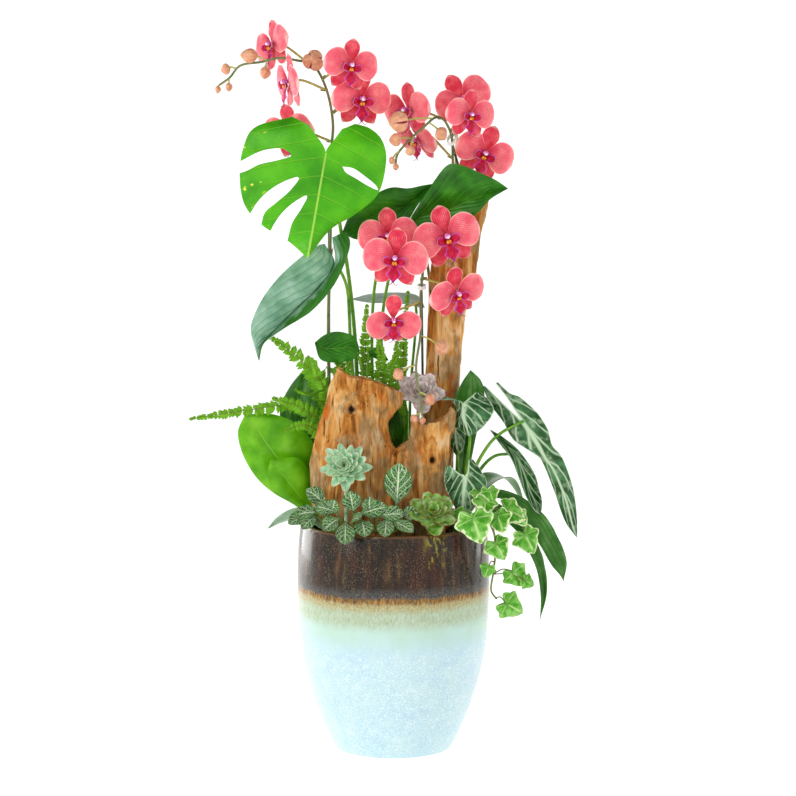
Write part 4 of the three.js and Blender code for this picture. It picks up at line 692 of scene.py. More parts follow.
# %% Flower and stem places
ROOTS = {
    "monstera": [-42, 30, 3.4],
    "silver": [-46, 10, 3],
    "broad_left": [-16, 36, 2.8],
    "broad_right": [4, 36, 2.8],
    "round": [-28, 10, 2.4],
    "pale": [22, 74, 2.4],
    "orchid_left": [-88, 10, 7],
    "orchid_back": [2, 92, 7],
    "orchid_right": [86, 40, 7],
    "fern_left": [-60, 28, 5],
    "fern_middle": [-26, 62, 5],
    "fern_right": [2, 62, 4],
    "blue_rosette": [-60, -63, 3],
    "green_rosette": [46, -84, 3.5],
    "purple_rosette": [28, 12, 3],
    "fittonia": [-52, -88, 4],
    "alocasia": [84, -6, 8],
    "ivy": [92, -52, 3],
}
BLOOM_FACTS = ("at", "looks", "lean", "size", "from")
BLOOM_ROWS = {
    "left": [
        ([-154, 26, 909], [-0.8, -0.58, 0.05], 16, 0.84, [-108, -4, 886]),
        ([-131, -26, 862], [-0.92, -0.36, -0.12], 0, 0.9, [-89, -4, 848]),
        ([-132, 6, 799], [-0.55, -0.8, -0.2], 8, 0.9, [-79, 1, 786]),
        ([-54, -44, 883], [0.35, -0.93, -0.1], -8, 0.84, [-89, -4, 864]),
        ([-41, -16, 841], [0.33, -0.93, -0.15], -3, 0.92, [-78, -2, 820]),
    ],
    "right": [
        ([19, 24, 826], [-0.66, -0.74, -0.05], 5, 0.9, [63, 2, 815]),
        ([31, 48, 789], [-0.65, -0.6, -0.45], -8, 0.8, [77, 40, 762]),
        ([90, 60, 839], [0.25, -0.92, 0.2], 28, 0.93, [79, 62, 715]),
        ([97, -12, 821], [0.42, -0.9, -0.1], -6, 0.8, [73, 16, 798]),
        ([117, 30, 771], [0.2, -0.95, -0.15], -22, 0.93, [77, 34, 772]),
    ],
    "front": [
        ([3, -64, 642], [-0.1, -0.98, -0.1], -5, 0.97, [38, -3, 626]),
        ([-6, -18, 667], [-0.15, -0.98, 0], 5, 0.92, [38, -3, 626]),
        ([67, -42, 668], [0.2, -0.97, -0.08], 16, 1.02, [38, 14, 650]),
        ([80, -42, 597], [0.45, -0.82, -0.34], 14, 0.9, [37, -4, 614]),
        ([0, -40, 563], [0.1, -0.92, -0.36], 0, 0.84, [35, -11, 582]),
    ],
}
BLOOMS = {side: [dict(zip(BLOOM_FACTS, row)) for row in rows] for side, rows in BLOOM_ROWS.items()}
BLOOMS["front"][4].update(droop=26, cup=14)
SPIKES = {
    "left": {
        "path": [
            [-78, 32, 262], [-82, 26, 412], [-84, 20, 543], [-81, 10, 660], [-79, 2, 775],
            [-77, -2, 811], [-87, -4, 858], [-103, -4, 884], [-123, -4, 889], [-144, -4, 892],
            [-167, -4, 887], [-195, -4, 882], [-208, -4, 867], [-221, -4, 858],
        ],
        "buds": [
            [[-103, -4, 884], [-101, -15, 889], [13, 12, 13]],
            [[-160, -4, 889], [-183, -9, 895], [11, 9, 9]],
            [[-160, -4, 889], [-163, -9, 873], [7, 7, 8]],
            [[-199, -4, 879], [-213, -5, 878], [6, 6, 7]],
            [[-209, -4, 866], [-209, -6, 855], [4.5, 4.5, 5.5]],
            [[-219, -4, 859], [-223, -5, 852], [3.6, 3.6, 5]],
        ],
    },
    "right": {
        "path": [
            [52, 76, 262], [75, 86, 458], [81, 82, 643], [79, 62, 715], [77, 44, 755], [75, 22, 790],
            [71, 12, 803], [63, 2, 815], [54, -4, 817], [40, -12, 806], [21, -20, 789], [5, -27, 770],
            [3, -30, 758],
        ],
        "buds": [
            [[50, -6, 815], [6, -40, 812], [13, 12, 13]],
            [[44, -10, 809], [61, -16, 796], [8, 7, 9]],
            [[24, -19, 792], [2, -34, 789], [8, 8, 8]],
            [[26, -18, 793], [21, -38, 775], [6, 6, 6.5]],
            [[8, -26, 773], [-2, -34, 763], [4, 4, 5]],
            [[3, -30, 760], [3, -32, 755], [4, 4, 4.5]],
        ],
    },
    "front": {
        "path": [
            [38, 80, 262], [54, 86, 451], [50, 84, 577], [44, 68, 628], [40, 38, 650], [38, 12, 647],
            [38, -3, 624], [35, -8, 590], [35, -24, 544], [29, -42, 500], [34, -48, 464],
            [37, -52, 440],
        ],
        "buds": [
            [[35, -25, 541], [62, -34, 525], [9, 8, 10]],
            [[30, -40, 505], [6, -52, 493], [7, 7, 8]],
            [[33, -48, 470], [47, -54, 461], [6.5, 6.5, 8]],
            [[36, -50, 446], [26, -56, 437], [5, 5, 5.5]],
            [[37, -52, 441], [37, -54, 434], [4, 4, 5]],
        ],
    },
}
STAKES = {
    "left": [[-84, 50, 262], [-84, 48, 300], [-83, 26, 700]],
    "right": [
        [61, 84, 262], [66, 90, 330], [76, 97, 458], [84, 94, 643], [87, 72, 715], [86, 60, 745],
        [77, 38, 779], [75.2, 30, 796],
    ],
    "front": [[41, 25, 262], [40, 22, 340], [36, 4, 612]],
}
ROOT_Z = 262
UPRIGHT = 22


def rooted(path):
    """The same path, but upright from its root to above the soil."""
    x, y = path[0][:2]
    return [[x, y, ROOT_Z], [x, y, ROOT_Z + UPRIGHT], *path[1:]]


def place_of(at, looks, lean=0, size=1, **_):
    """The turn and the place of a flower: its third axis is where it looks, its second is up."""
    forward = np.array(looks, float) / np.linalg.norm(looks)
    right = np.cross((0, 0, 1), forward)
    right /= np.linalg.norm(right)
    turn = np.stack([right, np.cross(forward, right), forward], axis=1)
    c, s = np.cos(np.radians(lean)), np.sin(np.radians(lean))
    return turn @ np.array([[c, -s, 0], [s, c, 0], [0, 0, 1]]) * size, np.array(at, float)


def put(points, place):
    turn, at = place
    return points @ turn.T + at


def nearest(path, hint):
    return path[np.argmin(np.linalg.norm(path - np.array(hint, float), axis=1))]


print(len(ROOTS), "root places,", sum(len(flowers) for flowers in BLOOMS.values()), "flowers")

# %% [markdown]
# A stem is a tube along a rounded line, a little thicker at its joints. A bud is an egg with three
# seams, where the folded sepals meet. The first bud of the two tall spikes is nearly open, so its
# seams are deeper and dark red: the red of the petals inside, with painted shade in the seams.

# %% Flower spikes
def add_bud(sculpt, at, radii, way, opening, paint):
    """An egg of three folded sepals about the axis way. opening widens the dark gaps between them."""
    rows, around = 22, 36
    s = np.linspace(0, 1, rows)[:, None]
    turns = np.arange(around) / around * 2 * np.pi
    away = np.abs((turns / (2 * np.pi) * 3 + 0.5) % 1 - 0.5) * 2
    gap = np.exp(-(away / 0.16) ** 2)
    profile = np.sin(np.pi * s ** 0.86) ** 0.72
    ridge = 1 + 0.05 * np.cos(3 * (turns - np.pi / 3)) - (0.05 + 0.12 * opening) * gap * np.sin(np.pi * s)
    way = np.array(way, float) / np.linalg.norm(way)
    side = np.cross(way, (0.2, -0.9, 0.37))
    side /= np.linalg.norm(side)
    other = np.cross(way, side)
    ring = np.cos(turns)[:, None] * side + np.sin(turns)[:, None] * other
    points = (profile * ridge)[..., None] * ring + ((s * 2 - 1) * 1.0)[..., None] * way
    marks = np.stack([
        np.broadcast_to(s, (rows, around)),
        np.broadcast_to(turns / np.pi - 1, (rows, around)),
        gap * (0.25 + 0.75 * opening) * np.sin(np.pi * s) ** 0.5,
    ], axis=-1)
    sculpt.add(points * np.array(radii) + at, grid_faces(rows, around, closed=True), marks, paint)


def add_scale(sculpt, path, k, radius, length, paint):
    """A papery scale that wraps the stem at step k of its path."""
    way = path[k + 1] - path[k]
    way /= np.linalg.norm(way)
    side = np.cross(way, (0.3, 0.8, 0.5))
    side /= np.linalg.norm(side)
    other = np.cross(way, side)
    s, t = np.meshgrid(np.linspace(0, 1, 9), np.linspace(-1, 1, 9), indexing="ij")
    turn = t * 1.7 * (1 - s ** 1.6) + 0.3 * k
    out = (radius + 0.3 + 1.3 * s)[..., None]
    points = path[k] + way * (s * length)[..., None]
    points = points + out * (np.cos(turn)[..., None] * side + np.sin(turn)[..., None] * other)
    sculpt.blade([(points, np.stack([s, t], -1))], 0.5, paint)


STEM_STEPS = 150
JOINTS = [30, 52, 74]
for side in SPIKES:
    spike = Sculpt()
    path = smooth_path(rooted(SPIKES[side]["path"]), STEM_STEPS)
    girth = np.linspace(2.7, 1.4, STEM_STEPS)
    swell = np.zeros(STEM_STEPS)
    for joint in JOINTS:
        swell += 0.7 * np.exp(-((np.arange(STEM_STEPS) - joint) / 1.6) ** 2)
    spike.tube(path, girth + swell, 14)
    for joint in JOINTS:
        add_scale(spike, path, joint, girth[joint] + 0.5, 13, 0)
    for bloom in BLOOMS[side]:
        turn, at = place_of(**bloom)
        forward = turn[:, 2] / np.linalg.norm(turn[:, 2])
        start = nearest(path, bloom["from"])
        stalk = smooth_path([start, at - forward * 16, at - forward * 5, at - forward * 0.9], 26)
        spike.tube(stalk, np.linspace(1.7, 1.45, 26) + 0.9 * np.linspace(0, 1, 26) ** 12, 10, 1)
        add_scale(spike, stalk, 1, 1.7, 6, 0)
    for n, (hint, at, radii) in enumerate(SPIKES[side]["buds"]):
        start = nearest(path, hint)
        way = np.array(at, float) - start + (0, 0, -4)
        bend = (start + np.array(at)) / 2 + (0, 0, 2)
        foot = np.array(at) - way / np.linalg.norm(way) * np.array(radii) * 0.85
        stalk = smooth_path([start, bend, foot], 14)
        spike.tube(stalk, np.linspace(1.1, 1.3, 14), 8, 1)
        opening = 1.0 if n == 0 and side != "front" else 0.25
        add_bud(spike, at, np.array(radii) * (1.04, 1.0, 1.04), way, opening, 2)
    spike.make("flower_spike_" + side, "spike_" + side, "stem", [stem_paint, stalk_paint, bud_paint])
    stake = Sculpt()
    stake.tube(smooth_path(rooted(STAKES[side]), 60), 1.6, 12)
    stake.make("support_stake_" + side, "stake_" + side, "stake", [stake_paint])
print("spikes", [made_triangles["flower_spike_" + side] for side in SPIKES])

# %% [markdown]
# The two clips keep their solids, because a small oval ring is already the right shape. They only
# need the milky plastic finish, which goes into the solid's own material slot.

# %% Clips
for name in ("clip_right", "clip_front"):
    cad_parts[name].data.materials.clear()
    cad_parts[name].data.materials.append(clip_paint.material)
print("clips painted")

# %% [markdown]
# Each flower has two round petals in front and three narrower sepals behind. Fine darker lines fan
# out from the middle, the margin is paler, and the back is paler still. The lines are drawn from
# the two numbers that each point carries: where across is constant, a line runs from the root of
# the petal to its rim.

# %% Petal finish
p = petal_paint = Paint("petal")
flush = p.noise(13, 3)
wander = p.times_plus(p.noise(7, 2), 1.4, p.times(p.across, 9.0))
fan = p.beat(wander)
fan = p.step(fan, 0.17, 0.02)
twigs = p.step(p.cells(2.6, "DISTANCE_TO_EDGE"), 0.16, 0.02)
edge = p.most(p.off, p.along)
fade = p.step(edge, 0.97, 0.6)
veins = p.times(p.most(fan, p.times(twigs, 0.4)), fade)
coral = p.ramp(flush, (0.3, "#f06276"), (0.5, "#f57c88"), (0.7, "#f89797"))
coral = p.mix(p.times(veins, 0.75), coral, "#cc2a50")
coral = p.mix(p.step(p.along, 0.42, 0.05, 0.0, 0.8), coral, "#d0204e")
coral = p.mix(p.step(edge, 0.9, 0.99, 0.0, 0.85), coral, "#fbc9c2")
behind = p.mix(p.times(veins, 0.35), "#f2a5a4", "#dc6f7c")
p.finish(
    p.mix(p.back, coral, behind),
    rough=0.55, bump=veins, relief=0.25, soft=0.22, reach=2.0, sheen_weight=0.15,
)
p = sepal_paint = Paint("sepal")
flush = p.noise(10, 3)
wander = p.times_plus(p.noise(7, 2), 1.0, p.times(p.across, 5.0))
fan = p.beat(wander)
fan = p.step(fan, 0.2, 0.03)
edge = p.most(p.off, p.along)
crimson = p.ramp(flush, (0.3, "#d8304f"), (0.5, "#e65064"), (0.7, "#f0767c"))
crimson = p.mix(p.times(fan, 0.5), crimson, "#a30f34")
crimson = p.mix(p.step(edge, 0.88, 0.99, 0.0, 0.85), crimson, "#f9bcb6")
behind = p.mix(p.times(fan, 0.3), "#e79a90", "#cc6a6c")
p.finish(
    p.mix(p.back, crimson, behind),
    rough=0.5, bump=fan, relief=0.2, soft=0.2, reach=2.0, sheen_weight=0.1,
)
print("the petal finish has", len(petal_paint.tree.nodes), "nodes")

# %% [markdown]
# The middle of a flower holds a crimson lip with a violet margin, an orange yellow callus with red
# dots and a pink and white column. They have finishes of their own, because these small strong
# colours draw the eye first.

# %% Lip and column finishes
p = lip_paint = Paint("lip")
blush = p.ramp(p.noise(4, 3), (0.3, "#a80a38"), (0.5, "#cc1440"), (0.7, "#e02c5e"))
stripes = p.math("SINE", p.times_plus(p.across, 22.0, p.noise(3)))
blush = p.mix(p.step(stripes, 0.3, 1.0, 0.0, 0.4), blush, "#7a0626")
edge = p.most(p.off, p.along)
blush = p.mix(p.step(edge, 0.7, 0.95, 0.0, 0.85), blush, "#c44ccc")
blush = p.mix(p.step(edge, 0.95, 1.0, 0.0, 0.6), blush, "#eccbe8")
p.finish(blush, rough=0.35, bump=stripes, relief=0.15, soft=0.15, reach=1.5)
p = callus_paint = Paint("callus")
yolk = p.ramp(p.noise(2, 2), (0.3, "#e98a1f"), (0.7, "#f6bb4a"))
dots = p.step(p.cells(1.5), 0.36, 0.26)
p.finish(p.mix(dots, yolk, "#a81b22"), rough=0.35, bump=dots, relief=0.2, soft=0.2)
p = column_paint = Paint("column")
pale = p.ramp(p.noise(2.5, 3), (0.35, "#c63aa4"), (0.5, "#dd7cc9"), (0.65, "#f6e2f2"))
pale = p.mix(p.step(p.along, 0.72, 0.9), pale, "#f7eef4")
p.finish(pale, rough=0.35, bump=p.noise(1.2), relief=0.15, soft=0.2)
print("the lip finish has", len(lip_paint.tree.nodes), "nodes")

# %% [markdown]
# A petal is a table of rows from its root to its rim, each with how far it reaches to either side.
# A rounded line through the rows gives its outline, and waves bend the sheet. One function makes
# petals and sepals, and a pair is made from one table, mirrored and waved differently.

# %% Flower shapes
PETAL_THICK = 0.6
PETAL = [
    [2, -1.5, 2.5], [6, -5, 14], [12, -11, 22.5], [20, -16.3, 26], [28, -18, 25.3], [35, -15.8, 21],
    [40, -10, 13.5], [42.6, -4.2, 6.6], [43.3, 1.2, 1.2],
]
UPPER_SEPAL = [
    [1, -2, 2], [8, -6.5, 6.5], [16, -10.6, 10.6], [24, -12.8, 12.8], [31, -11.2, 11.2], [36, -7, 7],
    [38.8, -2.6, 2.6], [39.6, 0, 0],
]
LOWER_SEPAL = [
    [1, -2, 2], [8, -6, 6.4], [16, -10.2, 10.4], [25, -12, 12], [33, -9.6, 9.6], [38, -4.8, 5],
    [40.4, -1, 1.4], [40.8, 0.2, 0.2],
]


def flower_blade(rows, angle, start, rise, dome, curl, wave, seed, mirror=False, steps=30, across=20):
    """One petal or sepal, turned by angle about the flower's axis, with its marks."""
    keys = np.linspace(0, len(rows) - 1, steps)
    out, low, high = spline(rows, keys).T
    high = np.maximum(high, low)
    s = (out / out.max())[:, None]
    t = np.linspace(-1, 1, across)[None]
    y = (low + high)[:, None] / 2 + (high - low)[:, None] / 2 * t
    x = np.broadcast_to(out[:, None], y.shape)
    arch = np.sin(np.pi * np.clip(s * 0.92 + 0.04, 0, 1))
    z = start + rise * s + dome * (1 - t ** 2) * arch - curl * t ** 2 * s
    z = z - 0.5 * np.exp(-(t / 0.12) ** 2) * np.sin(np.pi * s) - 2.2 * curl * s ** 6
    z = z + wave * np.sin(5.5 * np.pi * s + seed * 2.1 + 2.2 * t) * (t ** 2 * 0.8 + 0.25 * s)
    points = np.stack([x, y, z], axis=-1)
    c, d = np.cos(np.radians(angle)), np.sin(np.radians(angle))
    points = points @ np.array([[c, d, 0], [-d, c, 0], [0, 0, 1]])
    points = points + 0.35 * lumps(points + seed * 31, 13)[..., None] * (0, 0, 1)
    if mirror:
        points = points * (-1, 1, 1)
    marks = np.stack(np.broadcast_arrays(s, t), axis=-1)
    return points, marks, 1 if mirror else -1


def add_flower(sculpt, bloom, seed):
    place = place_of(**bloom)
    droop, cup = bloom.get("droop", 4), bloom.get("cup", 6)
    lower = 56 + (droop - 4) * 0.8
    for mirror in (False, True):
        shape = flower_blade(PETAL, -droop, 1.7, cup, 2.6, 2.4, 0.75, seed + mirror, mirror)
        sculpt.blade([(put(shape[0], place), *shape[1:])], PETAL_THICK, 0)
        turn = seed + 3 + mirror
        shape = flower_blade(LOWER_SEPAL, -lower, -2.2, -3.5, 1.8, -1.2, 0.5, turn, mirror, 24, 14)
        sculpt.blade([(put(shape[0], place), *shape[1:])], PETAL_THICK, 1)
    shape = flower_blade(UPPER_SEPAL, 90, -2.2, -3.5, 1.8, -1.2, 0.5, seed + 5, False, 24, 14)
    sculpt.blade([(put(shape[0], place), *shape[1:])], PETAL_THICK, 1)
    hub = np.array([[0, 0, -0.9], [0, 0, -0.3], [0, 0, 1.2], [0, 0, 2.2]], float)
    sculpt.tube(put(hub, place), np.array([2.2, 3.4, 3.2, 1.8]) * bloom["size"], 14, 1)


def lobe(rows, across, bend):
    """A blade of the lip from rows of middle point, half width and the direction across it."""
    table = spline([[*middle, half, *way] for middle, half, way in rows], np.linspace(0, len(rows) - 1, 20))
    middle, half, way = table[:, None, :3], table[:, None, 3:4], table[:, None, 4:]
    t = np.linspace(-1, 1, across)[None, :, None]
    points = middle + way * half * t - np.array((0, 0, bend)) * half * t ** 2
    s = np.linspace(0, 1, 20)[:, None]
    return points, np.stack(np.broadcast_arrays(s, t[..., 0]), axis=-1)


SIDE_LOBE = [
    [(2.2, -4.2, 4.2), 2.4, (0, 0.96, 0.2)], [(5.2, -4, 7.4), 5.0, (0.1, 0.97, -0.1)],
    [(9.0, -3.6, 9.6), 6.4, (0.25, 0.95, -0.1)], [(12.4, -3.8, 11), 4.8, (0.3, 0.93, 0)],
    [(14.4, -4.6, 11.4), 1.6, (0.3, 0.9, 0.1)], [(14.8, -5, 11.4), 0, (0.3, 0.9, 0.1)],
]
MIDDLE_LOBE = [
    [(0, -5.5, 5.2), 2.8, (1, 0, 0)], [(0, -11, 9), 3.4, (1, 0, 0)], [(0, -16, 11.8), 6.2, (1, 0, 0)],
    [(0, -20.6, 13.6), 9.8, (1, 0, 0)], [(0, -24, 14), 6.4, (1, 0, 0)], [(0, -28, 12.8), 2.6, (1, 0, 0)],
    [(0, -31, 11.4), 0.5, (1, 0, 0)],
]
TENDRIL = [[0.4, -29.5, 12], [1.8, -32, 12.6], [4.6, -33.6, 14], [6.6, -32, 16], [6.0, -30, 17]]
CALLUS = [[1.3, -7.6, 6.4], [1.5, -6.6, 8.4], [1.6, -5.2, 9.6], [1.4, -3.8, 9.9]]
CALLUS_GIRTH = [1.2, 1.9, 2.1, 2.2, 2.1, 1.8, 1.3, 0.6]


def add_lip(sculpt, bloom, seed):
    place = place_of(**bloom)
    scale = bloom["size"]
    for mirror in (1, -1):
        points, marks = lobe(SIDE_LOBE, 13, -0.16)
        sculpt.blade([(put(points * (mirror, 1, 1), place), marks, mirror)], 0.6, 0)
        curl = smooth_path(np.array(TENDRIL) * (mirror, 1, 1) + (0, 0, 0.3 * np.sin(seed)), 16)
        sculpt.tube(put(curl, place), np.linspace(0.6, 0.2, 16) * scale, 6, 0)
        bump = smooth_path(np.array(CALLUS) * (mirror, 1, 1), 8)
        sculpt.tube(put(bump, place), np.array(CALLUS_GIRTH) * scale, 10, 1)
    points, marks = lobe(MIDDLE_LOBE, 15, 0.34)
    sculpt.blade([(put(points, place), marks)], 0.7, 0)
    column = smooth_path([[0, 0.4, 2.4], [0, 1.2, 5], [0, 1.4, 8.2], [0, 0.2, 11], [0, -1.6, 12]], 14)
    girth = np.array([2.6, 2.9, 3.0, 3.0, 3.0, 3.1, 3.3, 3.5, 3.6, 3.5, 3.2, 2.7, 1.9, 0.8])
    sculpt.tube(put(column, place), girth * scale, 16, 2)


print("a petal is", PETAL[-1][0], "mm long before its flower's size is applied")

# %% [markdown]
# Every flower is built afresh from the same tables and not copied, and each flower on a spike has
# its own seed, because no two real ones wave alike. Petals and lip stay separate pieces, as in the
# solids.

# %% The fifteen flowers
for side in BLOOMS:
    for n, bloom in enumerate(BLOOMS[side], 1):
        seed = n + 10 * len(side)
        flower = Sculpt()
        add_flower(flower, bloom, seed)
        flower.make(f"flower_{side}_{n}", f"bloom_{side}_{n}", "petal", [petal_paint, sepal_paint])
        lip = Sculpt()
        add_lip(lip, bloom, seed)
        lip.make(f"flower_lip_{side}_{n}", f"lip_{side}_{n}", "lip", [lip_paint, callus_paint, column_paint])
print("a flower has", made_triangles["flower_left_1"], "triangles")
print("a lip has", made_triangles["flower_lip_left_1"], "triangles")

# %% [markdown]
# Most of the foliage is broad leaves, and each is drawn as it is seen from the front, row by row
# from one end to the other. A rounded line through the rows gives the margins and the rib, and each
# half of the leaf is stretched between them, with a soft arch and a waved margin. The veins are not
# cut into the mesh. They come from the finish, which knows how far along and across each point
# lies.


# %% Broad leaves from rows
def leaf_halves(
    rows, edge_depth, steps=44, across=12, arch=0.10, wave=0.8, waves=4, seed=0.0, flip=False,
):
    """Both halves of a leaf as grids. A row is [depth, x, z, ...] with 1 to 4 places from left to right."""
    wide = []
    for depth, *flat in rows:
        spots = [[x, depth, z] for x, z in zip(flat[::2], flat[1::2])]
        if len(spots) == 2:
            middle = [sum(c) / 2 for c in zip(*spots)]
            spots = [spots[0], middle, middle, spots[1]]
        elif len(spots) == 3:
            spots = [spots[0], spots[1], spots[1], spots[2]]
        elif len(spots) == 1:
            spots = spots * 4
        if len(flat) > 2:
            spots[0] = [spots[0][0], depth + edge_depth[0], spots[0][2]]
            spots[3] = [spots[3][0], depth + edge_depth[1], spots[3][2]]
        wide.append(spots)
    keys = np.linspace(0, len(rows) - 1, steps)
    lines = spline(wide, keys)
    s = np.linspace(0, 1, steps)[:, None]
    t = np.linspace(0, 1, across)[None]
    if flip:
        s = 1 - s
    halves = []
    for outer, inner, side in ((0, 1, -1), (3, 2, 1)):
        edge, rib = lines[:, outer][:, None], lines[:, inner][:, None]
        points = rib + (edge - rib) * t[..., None]
        width = np.linalg.norm((edge - rib)[..., [0, 2]], axis=-1)
        rise = arch * width * 4 * t * (1 - t) * 0.8 + 0.4 * np.exp(-(t / 0.08) ** 2)
        ripple = wave * np.sin(2 * np.pi * waves * s + seed + side) * t ** 2 * np.clip(width / 12, 0, 1)
        points = points - np.stack([0 * rise, rise + ripple, 0 * rise], axis=-1)
        points = points + 0.5 * lumps(points + seed * 9, 22)[..., None] * (0, 1, 0)
        marks = np.stack(np.broadcast_arrays(s, t * side), axis=-1)
        out = (points[:, -1] - points[:, 0]).sum(axis=0)
        down = (points[-1] - points[0]).sum(axis=0)
        halves.append((points, marks, 1 if np.cross(out, down)[1] < 0 else -1))
    return halves


def add_leaf(sculpt, rows, edge_depth, thickness=0.7, paint=0, **form):
    sculpt.blade(leaf_halves(rows, edge_depth, **form), thickness, paint)


def leaf_finish(
    name, tones, vein, pairs=7, slope=1.0, line=0.1, rib=0.05, strength=0.5, back=None, rough=0.4,
    relief=0.9, coat=0.0, soft=0.08, stripes=0.0, shade=None,
):
    """A leaf with a rib and side veins that run out and towards the tip."""
    p = Paint(name)
    tone = p.ramp(p.noise(24, 4), *zip((0.32, 0.5, 0.68), tones))
    # Painted shade: the shade colour covers the outer part of one half of the leaf, with a ragged border.
    if shade:
        tone = p.mix(p.step(p.times_plus(p.noise(22, 2), 1.2, p.across), 0.5, 1.1), tone, shade)
    if stripes:
        lines = p.math("SINE", p.times_plus(p.across, stripes, p.noise(9)))
        tone = p.mix(p.step(lines, 0.0, 0.9, 0, 0.5), tone, tones[0])
    phase = p.times_plus(p.off, -slope * pairs / 10, p.times(p.along, float(pairs)))
    phase = p.times_plus(p.noise(15, 1), 0.35, phase)
    gap = p.beat(phase)
    width = p.times_plus(p.off, -0.6 * line, line)
    side_vein = p.line(gap, width)
    side_vein = p.times(side_vein, p.step(p.off, 1.0, 0.7))
    middle = p.step(p.off, rib, rib * 0.35)
    veins = p.most(p.times(side_vein, 0.8), middle)
    tone = p.mix(p.times(veins, strength), tone, vein)
    if back:
        tone = p.mix(p.back, tone, p.mix(p.times(veins, 0.3), back, vein))
    pillow = p.times(p.math("POWER", p.times(gap, 2.0), 0.6), p.step(p.off, 1.0, 0.6))
    height = p.plus(p.times_plus(p.noise(2.6, 2), 0.12, pillow), p.times(middle, -1.0))
    return p.finish(
        tone, rough=rough, bump=height, relief=relief, soft=soft, reach=1.5, coat_weight=coat,
        coat_roughness=0.2,
    )


def add_petiole(sculpt, path, radii, paint=1, steps=60):
    """A leaf stalk. One that starts at a root place stands upright from below the soil."""
    if path[0] in ROOTS.values():
        path = rooted(path)
    sculpt.tube(smooth_path(path, steps), np.linspace(*radii, steps), 10, paint)


petiole = leaf_finish("petiole", ("#4f8a22", "#6fa535", "#8dbb4c"), "#7fb34a", rib=0.01, strength=0.1)
print("leaf helpers ready")

# %% [markdown]
# The big fresh green leaf on the left is a monstera, known by its deep splits and its hole. The
# whole leaf is made first and the splits are cut from it with a boolean, as the solid was made,
# because the cuts then cross the sheet cleanly. Its veins fan out from the point where the stalk
# joins, so their marks are measured from there and not from the rows.

# %% Monstera
MONSTERA_ROWS = [
    [-44, -128, 818, -108, 809, -64, 803, -48, 809], [-46, -174, 805, -97, 795, -74, 790, -29, 803],
    [-50, -189, 780, -85, 774, -85, 774, -14, 788], [-52, -194, 745, -90, 742, -9, 763],
    [-54, -188, 708, -95, 714, -19, 722], [-55, -166, 682, -100, 686, -48, 696],
    [-56, -133, 662, -104, 663, -80, 676], [-57, -108, 641],
]
MONSTERA_SPLITS = [
    [
        [-205, 756], [-186, 766], [-170, 774], [-155, 778], [-138, 778], [-128, 770], [-145, 764],
        [-170, 758], [-186, 750], [-205, 746],
    ],
    [
        [-192, 676], [-180, 698], [-170, 713], [-155, 727], [-136, 738], [-118, 743], [-129, 727],
        [-147, 711], [-162, 698], [-172, 672],
    ],
    [
        [-164, 655], [-152, 681], [-140, 698], [-124, 712], [-108, 720], [-116, 703], [-127, 686],
        [-139, 655],
    ],
    [[-64, 756], [-51, 754], [-36, 744], [-22, 732], [-19, 726], [-31, 731], [-47, 741], [-60, 749]],
]
STALK_POINT = np.array((-85, 771))
TIP_POINT = np.array((-108, 641))
p = monstera_paint = Paint("monstera")
tone = p.ramp(p.noise(40, 4), (0.3, "#379204"), (0.5, "#4caa08"), (0.7, "#60bc10"))
bow = p.times(p.math("POWER", p.off, 1.5), 0.9)
phase = p.plus(p.times_plus(p.along, 5.6, p.times(p.off, -1.2)), p.times(bow, -1.0))
gap = p.beat(p.plus(phase, 0.35))
thin = p.times_plus(p.off, -0.02, 0.055)
veins = p.line(gap, thin)
veins = p.times(veins, p.step(p.off, 0.95, 0.6))
below = p.step(p.along, -0.03, 0.0)
rib = p.times(p.step(p.off, 0.014, 0.005), below)
tone = p.mix(p.times(veins, 0.38), tone, "#9ad64a")
tone = p.mix(p.times(rib, 0.75), tone, "#b4de62")
yellow = p.times(p.step(p.noise(9, 4), 0.62, 0.7), p.step(p.x, -150, -180))
tone = p.mix(yellow, tone, "#e7ef5c")
tone = p.mix(p.times(p.back, 0.6), tone, "#8cc455")
height = p.minus(p.noise(3, 2), p.plus(veins, rib))
p.finish(tone, rough=0.42, bump=height, relief=0.6, soft=0.15, coat_weight=0.1)


def monstera_marks(points):
    """Along the rib and to its side, in parts of the rib's length, measured from the stalk."""
    rib_way = TIP_POINT - STALK_POINT
    reach = np.linalg.norm(rib_way)
    flat = points[..., [0, 2]] - STALK_POINT
    along = flat @ rib_way / reach ** 2
    across = (flat[..., 0] * rib_way[1] - flat[..., 1] * rib_way[0]) / reach ** 2
    return np.stack([along, across], axis=-1)


monstera = Sculpt()
halves = leaf_halves(MONSTERA_ROWS, [14, 14], steps=90, across=44, arch=0.06, wave=0.6, waves=3)
monstera.blade([(g, monstera_marks(g), side) for g, _, side in halves], 0.8)
leaf = monstera.make("monstera_blade", None, "monstera", [monstera_paint, petiole])
knives = []
for split in MONSTERA_SPLITS:
    line = [[x, 0, z] for x, z in split]
    line = smooth_path(line + line[:1], 48)[:-1]
    wall = np.stack([line + (0, depth, 0) for depth in (-110, 30)])
    knife = Sculpt()
    ends = wall.mean(axis=1, keepdims=True).repeat(len(line), 1)
    lids = np.stack([ends[0], wall[0], wall[1], ends[1]])
    knife.add(lids, grid_faces(*lids.shape[:2], closed=True), np.zeros(lids.shape))
    knives.append(knife)
for n, knife in enumerate(knives):
    cutter = knife.make(f"cutter_{n}", None, "monstera", [petiole])
    modifier = leaf.modifiers.new("split", "BOOLEAN")
    modifier.operation = "DIFFERENCE"
    modifier.solver = "EXACT"
    modifier.object = cutter
    with bpy.context.temp_override(object=leaf, active_object=leaf):
        bpy.ops.object.modifier_apply(modifier="split")
    bpy.data.objects.remove(cutter)
    del made_triangles[f"cutter_{n}"]
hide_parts("monstera_leaf")
monstera_stalk = Sculpt()
